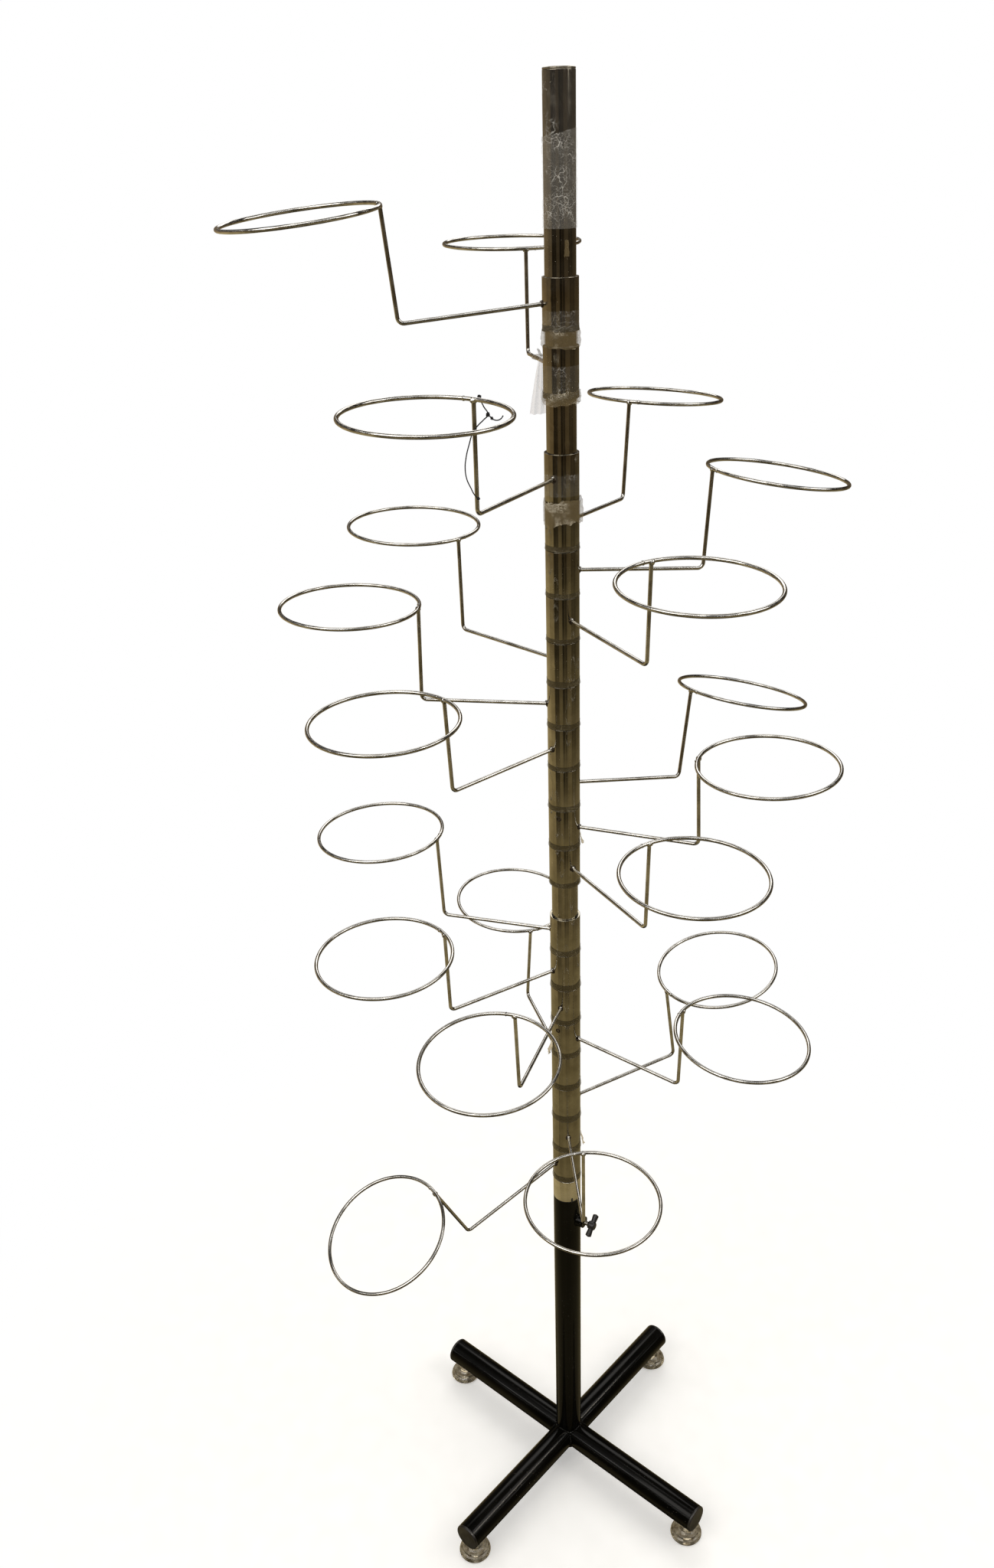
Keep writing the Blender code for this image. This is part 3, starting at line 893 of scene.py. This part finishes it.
clamp = {
    "height": 448.0,  # mm
    "azimuth": -36,
    "bossRadius": 7.5,
    "bossReach": 26.0,
    "screwRadius": 3.0,
    "screwPitch": 1.0,
    "threadDepth": 0.32,
    "leverCentre": 37.0,
    "leverLength": 30.0,
    "leverRadius": 4.2,
    "leverTilt": 39,
    "hubRadius": 5.5,
    "tabAzimuth": -75,
    "tabReach": 16.9,
    "tabOutline": ((-3, 0, 1.5), (0, 0.1, 1.6), (3, 0.4, 1.4), (6.4, 0.3, 1.1)),  # height, lean, half width
}


def buildClamp():
    spin = turned(clamp["azimuth"])
    out = (spin @ Vector((1, 0, 0))).xyz
    across = up.cross(out)
    middle = up * clamp["height"] * mm
    place = Matrix.Translation(middle) @ spin @ Matrix.Rotation(math.radians(90), 4, "Y")
    bm = bmesh.new()
    reach, radius = clamp["bossReach"] * mm, clamp["bossRadius"] * mm
    hole = (clamp["screwRadius"] + 0.4) * mm
    boss = [
        (hole, 16.2 * mm),
        (radius + 1.2 * mm, 16.2 * mm),
        (radius, 18.4 * mm),
        (radius, reach),
        (hole, reach),
    ]
    addTurned(bm, softened(boss, 0.6 * mm, True), 64, place, closed=True)
    makePiece("clampBossWelded", bm, [enamel], "base", "black_enamel", "clamp_boss")

    depth, pitch = clamp["threadDepth"] * mm, clamp["screwPitch"] * mm

    # a V thread: its height above the core at an angle and a height
    def flank(angle, height):
        return depth * abs((height / pitch - angle / (2 * math.pi)) % 1 - 0.5)

    bm = bmesh.new()
    start, end = 17.6 * mm, 32.5 * mm
    rows = int((end - start) / (0.125 * mm))
    core = (clamp["screwRadius"] - 0.3) * mm
    shank = [(0, start)] + [(core, start + (end - start) * i / rows) for i in range(rows + 1)] + [(0, end)]
    addTurned(bm, shank, 40, place, wobble=flank)
    makePiece("clampScrewThreaded", bm, [zinc], "clamp_screw", "zinc_steel", "clamp_screw")

    bm = bmesh.new()
    centre = clamp["leverCentre"] * mm
    hub = [
        (0, centre - 5.2 * mm),
        (4.6 * mm, centre - 5.2 * mm),
        (clamp["hubRadius"] * mm, centre - 3 * mm),
        (clamp["hubRadius"] * mm, centre + 3 * mm),
        (4.2 * mm, centre + 4.4 * mm),
        (0, centre + 4.6 * mm),
    ]
    addTurned(bm, softened(hub, 0.8 * mm), 48, place)
    tilt = math.radians(clamp["leverTilt"])
    along = (up * math.sin(tilt) + across * math.cos(tilt)).normalized()
    half = clamp["leverLength"] / 2 * mm
    points, radii = [], []
    for step in range(25):
        share = step / 12 - 1
        points.append(middle + out * centre + along * share * half)
        swell = 0.74 + 0.26 * abs(share) ** 1.5
        tip = math.sqrt(max(0.02, 1 - max(0, (abs(share) - 0.86) / 0.14) ** 2))
        radii.append(clamp["leverRadius"] * mm * swell * tip)
    addWire(bm, points, out, radii, 28)
    makePiece("clampLever", bm, [plastic], "clamp_lever", "black_plastic", "clamp_lever")


# a folded tab on the post's rim
def buildRimTab():
    bm = bmesh.new()
    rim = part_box("post")[1].z
    out = (turned(clamp["tabAzimuth"]) @ Vector((1, 0, 0))).xyz
    side = up.cross(out)
    rows = []
    for lift, lean, wide in clamp["tabOutline"]:
        spot = out * (clamp["tabReach"] + lean) * mm + up * (rim + lift * mm)
        corners = [(-wide, -0.5), (wide, -0.5), (wide, 0.5), (-wide, 0.5)]
        rows.append([bm.verts.new(spot + side * a * mm + out * b * mm) for a, b in corners])
    addGrid(bm, rows, around=True)
    turnedFace(bm, rows[0][::-1], 0)
    turnedFace(bm, rows[-1], 0)
    tab = makePiece("postRimTab", bm, [plastic], "base", "black_plastic")
    edge = tab.modifiers.new("softEdge", "BEVEL")
    edge.width = 0.3 * mm
    edge.segments = 3


buildClamp()
buildRimTab()
print("clamp and rim tab built")

packing = {  # mm
    # name, body, lower and upper edge (above the floor, or above the collar's lower end), radius,
    # depth of the folds, their size, film, seed, slant of the upper edge, and twist
    "wraps": (
        ("poleFilmSmooth", "pole", 1725.0, 1779.6, 15.05, 0.25, 22, smoothFilm, 3.1, 0, 0),
        ("poleFilmCrinkled", "pole", 1648.6, 1728.0, 15.25, 1.2, 7.5, sleeveFilm, 7.7, 3.5, 0.6),
        ("collarFilm01", "collar_01", 0, 19, 17.6, 0.8, 8, collarFilm, 1.3, 0, 0),
        ("collarFilm02", "collar_02", 2, 31, 17.6, 0.7, 7, collarFilm, 4.9, 0, 0),
        ("collarFilm03", "collar_03", 7, 28, 17.6, 1.0, 9, collarFilm, 2.4, 0, 0),
    ),
    # body, lower and upper edge above the floor, inner radius, bulge, how lopsided, and a seed
    "ropes": (
        ("collar_01", 1543.0, 1560.0, 15.9, 3.0, 0.15, 2.7),
        ("collar_02", 1491.0, 1503.5, 16.2, 3.0, 0.15, 5.4),
        ("collar_04", 1373.0, 1397.5, 17.8, 1.5, 1.8, 8.1),
    ),
    "bulgesTowards": -30,  # degrees
}


# film round the tube between two heights; the folds run round it and stand proud by up to depth
def wrapFilm(name, body, bottom, topEdge, radius, depth, facet, material, seed, slant, twist):
    steps = 160
    rows = max(6, int((topEdge - bottom) / (0.9 * mm)))
    bm = bmesh.new()
    grid = []
    for row in range(rows + 1):
        share = row / rows
        line = []
        for step in range(steps):
            angle = 2 * math.pi * step / steps
            ragged = noise.noise(Vector((math.cos(angle) * 2, math.sin(angle) * 2, seed)))
            height = bottom + (topEdge - bottom) * share
            height += slant * share * math.cos(angle) + 1.2 * mm * ragged * (2 * share - 1) * (share > 0.9)
            rise = height + twist * radius * angle
            spot = Vector((math.cos(angle) * radius, math.sin(angle) * radius, rise))
            spot = spot / facet + Vector((seed, seed, 0))
            near = noise.voronoi(spot)[0]
            crease = min(1, (near[1] - near[0]) * 1.6)
            slow = 0.5 + 0.5 * noise.noise(spot * 0.45)
            reach = radius + depth * (0.25 + 0.75 * crease) * (0.35 + slow)
            line.append(bm.verts.new((reach * math.cos(angle), reach * math.sin(angle), height)))
        grid.append(line)
    addGrid(bm, grid, around=True)
    piece = makePiece(name, bm, [material], body, "clear_plastic")
    thicken(piece, 0.1)


# film gathered into a rope round the tube, with long folds that run round it at a slant
def rollFilmRound(name, body, bottom, topEdge, inner, bulge, seed, lopsided):
    steps, around = 220, 30
    middle, half = (bottom + topEdge) / 2, (topEdge - bottom) / 2
    bm = bmesh.new()
    rows = []
    for step in range(steps):
        angle = 2 * math.pi * step / steps
        out = Vector((math.cos(angle), math.sin(angle), 0))
        thick = 1 + 0.25 * noise.noise(out * 1.6 + up * seed)
        thick += lopsided * max(0, math.cos(angle - math.radians(packing["bulgesTowards"]))) ** 4
        drift = 0.22 * half * noise.noise(out * 1.3 + up * seed * 3)
        row = []
        for turn in range(around):
            lean = 2 * math.pi * turn / around
            shape = Vector((math.cos(lean), math.sin(lean)))
            spot = out * 2.4 + up * (shape.y * 2.6 + 0.9 * math.sin(angle + seed)) + out * shape.x * 0.6
            fold = noise.noise(spot + up * seed)
            fine = abs(noise.noise(Vector((spot.x * 1.7, spot.y * 1.7, spot.z * 2.6))))
            size = 1 + 0.26 * fold - 0.3 * fine
            reach = inner + bulge * thick * max(0.1, (0.5 + 0.5 * shape.x) * size)
            height = middle + drift + half * shape.y * size
            row.append(bm.verts.new(out * reach + up * height))
        rows.append(row)
    addGrid(bm, rows + rows[:1], around=True)
    makePiece(name, bm, [rollFilm], body, "clear_plastic")


def buildPacking():
    for name, body, low, high, radius, depth, facet, film, seed, slant, twist in packing["wraps"]:
        start = 0 if body == "pole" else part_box(body)[0].z
        low, high = start + low * mm, start + high * mm
        wrapFilm(name, body, low, high, radius * mm, depth * mm, facet * mm, film, seed, slant * mm, twist)
    for body, low, high, inner, bulge, lopsided, seed in packing["ropes"]:
        name = "filmRope" + body[-2:]
        rollFilmRound(name, body, low * mm, high * mm, inner * mm, bulge * mm, seed, lopsided)


# a loose end of film that hangs from the second arm's root, gathered at the top and fanned below
def buildTail():
    tail = {"length": 52, "topWidth": 5.5, "width": 23, "pleats": 3.5, "depth": 2.6}  # mm
    top = Vector((-16.5, 17.5, 1532.0)) * mm
    side = Vector((-0.99, 0.1, 0))
    front = Vector((-0.1, -0.99, 0))
    bm = bmesh.new()
    rows, columns = 40, 48
    grid = []
    for row in range(rows + 1):
        down = row / rows
        wide = tail["topWidth"] + (tail["width"] - tail["topWidth"]) * down**0.8
        line = []
        for column in range(columns + 1):
            across = column / columns - 0.5
            wave = math.sin(2 * math.pi * tail["pleats"] * across + 0.8 * down)
            crumple = noise.noise(Vector((across * 5, down * 4, 2.2)))
            ahead = tail["depth"] * (0.35 + 0.65 * down) * (wave + 0.5 * crumple)
            hem = 2.5 * math.sin(2.2 * across + 1) * down + 1.2 * crumple * down
            spot = top + side * (across * wide + 1.5 * down) * mm + front * ahead * mm
            line.append(bm.verts.new(spot - up * (tail["length"] * down + hem) * mm))
        grid.append(line)
    addGrid(bm, grid)
    piece = makePiece("filmTail", bm, [tailFilm], "collar_02", "clear_plastic")

    # the crumpled bow where it is tied
    bm = bmesh.new()
    for reach, lift, wide, seed in ((-10, -0.5, 5.5, 1.1), (-4.5, 7.5, 4.5, 5.2), (4, 5, 4.0, 8.4)):
        start = top + up * mm
        tip = top - side * reach * mm + up * lift * mm
        grid = []
        for row in range(13):
            along = row / 12
            line = []
            for column in range(11):
                across = column / 10 - 0.5
                crumple = noise.noise(Vector((across * 4, along * 4, seed)))
                spread = wide * math.sin(math.pi * min(1, 0.12 + along * 0.75)) * across
                spot = start.lerp(tip, along) + up * spread * mm + front * 2.2 * crumple * mm
                line.append(bm.verts.new(spot + side * 0.8 * crumple * mm))
            grid.append(line)
        addGrid(bm, grid)
    piece = makePiece("filmBow", bm, [rollFilm], "collar_02", "clear_plastic")
    thicken(piece, 0.12)


# torn scraps of film and masking tape
scraps = (  # name, body, azimuth, radius, lower and upper height, width, lean out, material
    ("poleScrap", "pole", -74, 15.25, 1625.0, 1639.0, 5.5, 0.3, "film"),
    ("tapeScrapUpper", "collar_11", -14, 17.5, 1006.0, 1019.0, 5.0, 2.6, "tape"),
    ("tapeScrapMiddle", "collar_16", 192, 17.6, 717.0, 733.0, 7.0, 5.5, "tape"),
    ("tapeScrapLower", "collar_19", -10, 17.6, 571.0, 588.0, 7.0, 4.5, "tape"),
)


def buildScraps():
    for seed, (name, body, azimuth, radius, low, high, wide, lean, kind) in enumerate(scraps, 3):
        spin = turned(azimuth).to_3x3()
        bm = bmesh.new()
        grid = []
        for row in range(15):
            rise = row / 14
            line = []
            for column in range(11):
                across = column / 10 - 0.5
                crumple = noise.noise(Vector((across * 3, rise * 3, seed * 2.3)))
                torn = 1.4 * noise.noise(Vector((across * 7, seed, 0))) * (abs(rise - 0.5) > 0.4)
                taper = 1 - 0.45 * rise if kind == "film" else 1 - 0.2 * abs(crumple)
                out = radius + 0.15 + lean * (1 - rise) ** 1.5 * (1 + crumple) + 0.5 * abs(crumple)
                sideways = across * wide * taper + 0.6 * crumple
                spot = Vector((out, sideways, low + (high - low) * rise + torn))
                line.append(bm.verts.new(spin @ spot * mm))
            grid.append(line)
        addGrid(bm, grid)
        piece = makePiece(name, bm, [tape if kind == "tape" else rollFilm], body, "clear_plastic")
        thicken(piece, 0.15)


# black thread tied on the third holder: knotted on its ring, then loose down its upright
thread = {
    "radius": 0.55,  # mm
    "path": (  # mm from the top of the upright
        (5.2, 2.3, 0.6),
        (8.8, 1.6, -7.0),
        (12.1, 1.2, -13.6),
        (8.0, -1.4, -17.8),
        (3.4, -3.3, -21.5),
        (-1.6, -4.2, -27.5),
        (-5.4, -3.6, -38.0),
        (-8.6, -2.9, -50.0),
        (-9.7, -2.5, -60.0),
        (-8.4, -2.6, -69.5),
        (-5.2, -3.0, -77.0),
        (-2.6, -3.4, -82.5),
        (0.6, -3.6, -86.5),
    ),
    "end": (
        (12.6, 1.2, -13.8),
        (15.6, 0.8, -17.2),
        (19.4, 0.4, -18.9),
        (23.2, 0.0, -17.8),
        (25.6, 0.2, -15.0),
    ),
    "knots": (  # place and size
        (5.2, 2.3, 0.9, 1.9),
        (12.2, 1.2, -13.8, 1.7),
        (15.4, 0.9, -17.0, 1.3),
        (1.2, -3.2, -86.6, 1.3),
    ),
}


def addThread(name, points, top):
    line = bpy.data.curves.new(name, "CURVE")
    line.dimensions = "3D"
    line.bevel_depth = thread["radius"] * mm
    line.bevel_resolution = 3
    line.use_fill_caps = True
    spline = line.splines.new("BEZIER")
    spline.bezier_points.add(len(points) - 1)
    for point, spot in zip(spline.bezier_points, points):
        point.co = top + Vector(spot) * mm
        point.handle_left_type = point.handle_right_type = "AUTO"
    line.materials.append(cotton)
    piece = bpy.data.objects.new(name, line)
    scene.collection.objects.link(piece)
    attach(piece, "collar_03")
    return piece


def buildThread():
    top = holderFrame(3)[0][2]
    main = addThread("blackThread", thread["path"], top)
    end = addThread("blackThreadEnd", thread["end"], top)
    bm = bmesh.new()
    for i, (x, y, z, size) in enumerate(thread["knots"]):
        axes = (Vector((1, 0, 0)), Vector((0, 1, 0)), up)
        addLump(
            bm, top + Vector((x, y, z)) * mm, axes, (size * mm, size * 0.8 * mm, size * 1.1 * mm), 0.6, i
        )
    knots = makePiece("blackThreadKnots", bm, [cotton], "collar_03", "black_plastic")


buildPacking()
buildTail()
buildScraps()
buildThread()
print("packing film, tape scraps and thread built")

studio = {
    "floorRadius": 2.6,  # metres
    "floorWhite": "#f4f3f0",
    "softboxes": (  # place, size, watts, colour
        ((-1.7, -1.5, 3.0), (1.8, 1.8), 26, "#fffaf4"),
        ((2.0, -0.6, 2.7), (1.4, 1.4), 14, "#fffbf6"),
        ((0.3, 2.2, 2.8), (1.8, 1.2), 16, "#fffbf6"),
    ),
    "strip": ((1.05, -1.05, 1.70), (2.8, 0.06), 22, "#fff3df"),  # along the front-left and rear-right legs
}


def buildFloor():
    bm = bmesh.new()
    rings = [(0, 0)] + [(studio["floorRadius"] * share / 12, 0) for share in range(1, 13)]
    addTurned(bm, rings[::-1], 96)
    mesh = bpy.data.meshes.new("studioFloor")
    bm.to_mesh(mesh)
    bm.free()
    floor = bpy.data.objects.new("studioFloor", mesh)
    scene.collection.objects.link(floor)
    floor.location.z = -0.0005
    material, tree, shader, place = newMaterial("matPaleFloor", Roughness=0.9)
    # the floor fades into the white background well away from the rack
    away = addNode(tree, "ShaderNodeVectorMath", {"operation": "LENGTH"}, {0: place})
    fade = addNode(
        tree, "ShaderNodeMapRange", {"From Min": 0.35, "From Max": 1.1}, {"Value": away.outputs["Value"]}
    )
    fade.interpolation_type = "SMOOTHSTEP"
    mottle = addNode(tree, "ShaderNodeTexNoise", {"Scale": 35, "Detail": 4}, {"Vector": place})
    colour = addNode(
        tree,
        "ShaderNodeValToRGB",
        {"stops": [(0.3, linear("#eeede9")), (0.7, linear(studio["floorWhite"]))]},
        {"Fac": mottle.outputs[0]},
    )
    tree.links.new(colour.outputs[0], shader.inputs["Base Color"])
    glow = addNode(tree, "ShaderNodeEmission", {"Color": (1, 1, 1, 1), "Strength": 1.0})
    mix = addNode(
        tree, "ShaderNodeMixShader", None, {0: fade.outputs[0], 1: shader.outputs[0], 2: glow.outputs[0]}
    )
    tree.links.new(mix.outputs[0], tree.nodes["Material Output"].inputs["Surface"])
    shader.inputs["Emission Color"].default_value = (1, 0.995, 0.985, 1)
    shader.inputs["Emission Strength"].default_value = 0.25
    mesh.materials.append(material)
    floor.visible_glossy = False  # the chrome mirrors the darker room instead


def addAreaLight(name, spot, size, watts, colour, target):
    light = bpy.data.lights.new(name, "AREA")
    light.shape = "RECTANGLE"
    light.size, light.size_y = size
    light.energy = watts
    light.color = linear(colour)[:3]
    lamp = bpy.data.objects.new(name, light)
    lamp.location = spot
    lamp.rotation_euler = (Vector(target) - Vector(spot)).to_track_quat("-Z", "Y").to_euler()
    lamp.visible_camera = False
    scene.collection.objects.link(lamp)
    return lamp


def buildLights():
    for i, (spot, size, watts, colour) in enumerate(studio["softboxes"]):
        addAreaLight(f"softbox{i + 1}", spot, size, watts, colour, (0, 0, 0.9))
    spot, size, watts, colour = studio["strip"]
    strip = addAreaLight("legStrip", spot, size, watts, colour, (0, 0, 0.04))
    aim = (Vector((0, 0, 0.04)) - Vector(spot)).normalized()
    long = Vector((1, 1, 0)).normalized()
    across = aim.cross(long) * -1
    strip.rotation_euler = Matrix((long, across, -aim)).transposed().to_euler()
    # it draws the crisp line on the legs, and leaves the chrome alone
    enamelled = bpy.data.collections.new("enamelled")
    for piece in scene.objects:
        if piece.type == "MESH" and piece.get("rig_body") == "base" and not piece.name.startswith("foot"):
            enamelled.objects.link(piece)
    strip.light_linking.receiver_collection = enamelled


# the room that the chrome mirrors: dark warm walls in upright bands, lighter towards the floor,
# with rows of ceiling lamps. The camera itself sees plain white.
room = {
    "heights": (  # sine of the height angle, colour
        (-1.0, (0.03, 0.025, 0.018, 1)),
        (-0.86, (0.05, 0.04, 0.025, 1)),
        (-0.76, (0.34, 0.275, 0.14, 1)),
        (-0.6, (0.33, 0.265, 0.13, 1)),
        (-0.48, (0.285, 0.225, 0.115, 1)),
        (-0.37, (0.24, 0.19, 0.095, 1)),
        (-0.27, (0.165, 0.128, 0.066, 1)),
        (-0.1, (0.125, 0.088, 0.043, 1)),
        (0.0, (0.10, 0.075, 0.045, 1)),
        (0.3, (0.045, 0.038, 0.03, 1)),
        (0.42, (0.08, 0.075, 0.068, 1)),
        (0.58, (0.60, 0.595, 0.58, 1)),
        (1.0, (0.72, 0.71, 0.70, 1)),
    ),
    "bands": (  # share of a full turn, brightness / 6
        (0.0, 0.22),
        (0.06, 0.43),
        (0.225, 0.45),
        (0.23, 0.34),
        (0.325, 0.33),
        (0.333, 0.055),
        (0.375, 0.045),
        (0.38, 0.11),
        (0.388, 0.05),
        (0.42, 0.06),
        (0.428, 0.17),
        (0.485, 0.16),
        (0.492, 0.035),
        (0.525, 0.03),
        (0.53, 0.13),
        (0.545, 0.05),
        (0.572, 0.05),
        (0.58, 0.16),
        (0.66, 0.17),
        (0.67, 0.07),
        (0.70, 0.10),
        (0.76, 0.075),
        (0.775, 0.125),
        (0.9, 0.14),
        (1.0, 0.22),
    ),
    "farCeiling": 0.15,  # share of the near side's brightness
    "facing": 96.1,  # degrees: turns the bands so that their middle faces the camera
    "lampGlow": 6.0,
    "soft": (0.62, 0.612, 0.6, 1),  # what lights matt surfaces
}


def buildRoom():
    world = bpy.data.worlds.new("shopRoom")
    scene.world = world
    world.use_nodes = True
    tree = world.node_tree
    tree.nodes.clear()
    way = addNode(tree, "ShaderNodeTexCoord").outputs["Generated"]
    facing = addNode(
        tree,
        "ShaderNodeVectorRotate",
        {"rotation_type": "Z_AXIS", "Angle": math.radians(room["facing"])},
        {"Vector": way},
    )
    parts = addNode(tree, "ShaderNodeSeparateXYZ", None, {0: facing.outputs[0]})
    x, y, z = (parts.outputs[i] for i in range(3))
    height = addNode(tree, "ShaderNodeMath", {"operation": "MULTIPLY_ADD", 1: 0.5, 2: 0.5}, {0: z})
    walls = addNode(
        tree,
        "ShaderNodeValToRGB",
        {"stops": [((sine + 1) / 2, colour) for sine, colour in room["heights"]]},
        {"Fac": height.outputs[0]},
    )
    angle = addNode(tree, "ShaderNodeMath", {"operation": "ARCTAN2"}, {0: y, 1: x})
    turn = addNode(
        tree,
        "ShaderNodeMath",
        {"operation": "MULTIPLY_ADD", 1: 1 / (2 * math.pi), 2: 0.5},
        {0: angle.outputs[0]},
    )
    bands = addNode(tree, "ShaderNodeValToRGB", {"stops": room["bands"]}, {"Fac": turn.outputs[0]})
    # the bands fade out over the floor and over the ceiling
    level = addNode(
        tree,
        "ShaderNodeValToRGB",
        {"stops": [(0.0, 1.0), (0.22, 0.8), (0.29, 0.25), (0.33, 0.0), (0.6, 0.0), (0.8, 1.0)]},
        {"Fac": height.outputs[0]},
    )
    banded = addNode(
        tree,
        "ShaderNodeMix",
        {"data_type": "RGBA", 7: (0.16, 0.16, 0.16, 1)},
        {0: level.outputs[0], 6: bands.outputs[0]},
    )
    shade = addNode(
        tree,
        "ShaderNodeMix",
        {"data_type": "RGBA", "blend_type": "MULTIPLY", 0: 1.0},
        {6: walls.outputs[0], 7: banded.outputs[2]},
    )
    # ceiling lamps: 0.3 by 1.1 m panels in a grid, 1.4 m above the eye
    lamps = None
    for axis, spacing, share in ((x, 0.9, 0.2), (y, 1.7, 0.45)):
        onCeiling = addNode(tree, "ShaderNodeMath", {"operation": "DIVIDE"}, {0: axis, 1: z})
        cell = addNode(
            tree,
            "ShaderNodeMath",
            {"operation": "MULTIPLY_ADD", 1: 1.4 / spacing, 2: 0.31},
            {0: onCeiling.outputs[0]},
        )
        part = addNode(tree, "ShaderNodeMath", {"operation": "FRACT"}, {0: cell.outputs[0]})
        lit = addNode(tree, "ShaderNodeMath", {"operation": "LESS_THAN", 1: share}, {0: part.outputs[0]})
        if lamps:
            lit = addNode(tree, "ShaderNodeMath", {"operation": "MULTIPLY"}, {0: lamps, 1: lit.outputs[0]})
        lamps = lit.outputs[0]
    overhead = addNode(tree, "ShaderNodeMapRange", {"From Min": 0.3, "From Max": 0.36}, {"Value": z})
    lamps = addNode(tree, "ShaderNodeMath", {"operation": "MULTIPLY"}, {0: lamps, 1: overhead.outputs[0]})
    # the ceiling is lit on the near side, where x is positive, and dark on the far side
    near = addNode(
        tree,
        "ShaderNodeMapRange",
        {"From Min": -0.2, "From Max": 0.25, "To Min": room["farCeiling"]},
        {"Value": x},
    )
    ceiling = addNode(tree, "ShaderNodeMix", {2: 1.0}, {0: overhead.outputs[0], 3: near.outputs[0]})
    lamps = addNode(
        tree, "ShaderNodeMath", {"operation": "MULTIPLY"}, {0: lamps.outputs[0], 1: near.outputs[0]}
    )
    strength = addNode(tree, "ShaderNodeMath", {"operation": "MULTIPLY", 1: 6.0}, {0: ceiling.outputs[0]})
    bright = addNode(
        tree, "ShaderNodeMath", {"operation": "MULTIPLY", 1: room["lampGlow"]}, {0: lamps.outputs[0]}
    )
    glow = addNode(
        tree, "ShaderNodeBackground", {"Color": (1, 0.98, 0.94, 1)}, {"Strength": bright.outputs[0]}
    )
    dark = addNode(
        tree, "ShaderNodeBackground", None, {"Color": shade.outputs[2], "Strength": strength.outputs[0]}
    )
    mirrored = addNode(tree, "ShaderNodeAddShader", None, {0: glow.outputs[0], 1: dark.outputs[0]})
    white = addNode(tree, "ShaderNodeBackground", {"Color": (1, 1, 1, 1), "Strength": 1.0})
    soft = addNode(tree, "ShaderNodeBackground", {"Color": room["soft"], "Strength": 1.0})
    path = addNode(tree, "ShaderNodeLightPath")
    mix = addNode(
        tree,
        "ShaderNodeMixShader",
        None,
        {0: path.outputs["Is Glossy Ray"], 1: soft.outputs[0], 2: mirrored.outputs[0]},
    )
    mix = addNode(
        tree,
        "ShaderNodeMixShader",
        None,
        {0: path.outputs["Is Camera Ray"], 1: mix.outputs[0], 2: white.outputs[0]},
    )
    addNode(tree, "ShaderNodeOutputWorld", None, {"Surface": mix.outputs[0]})


camera = {
    "place": (-0.1428, -1.3297, 1.7346),  # metres
    "turn": -2.95,  # degrees, to the left
    "tilt": -26.08,
    "roll": 1.82,
    "lens": 30.865,  # mm on a 36 mm sensor
}


def buildCamera():
    eye = bpy.data.cameras.new("rackCamera")
    eye.lens = camera["lens"]
    eye.sensor_width = 36
    eye.clip_start = 0.01
    holder = bpy.data.objects.new("rackCamera", eye)
    turn = (
        Matrix.Rotation(math.radians(camera["turn"]), 3, "Z")
        @ Matrix.Rotation(math.radians(camera["tilt"]), 3, "X")
        @ Matrix.Rotation(math.radians(camera["roll"]), 3, "Y")
    )
    right, ahead, over = turn.col[0], turn.col[1], turn.col[2]
    facing = Matrix((right, over, -ahead)).transposed().to_4x4()
    holder.matrix_world = Matrix.Translation(camera["place"]) @ facing
    scene.collection.objects.link(holder)
    scene.camera = holder


buildFloor()
buildLights()
buildRoom()
buildCamera()
scene.view_settings.view_transform = "Standard"  # white stays white
print("floor, lights, room and camera set")
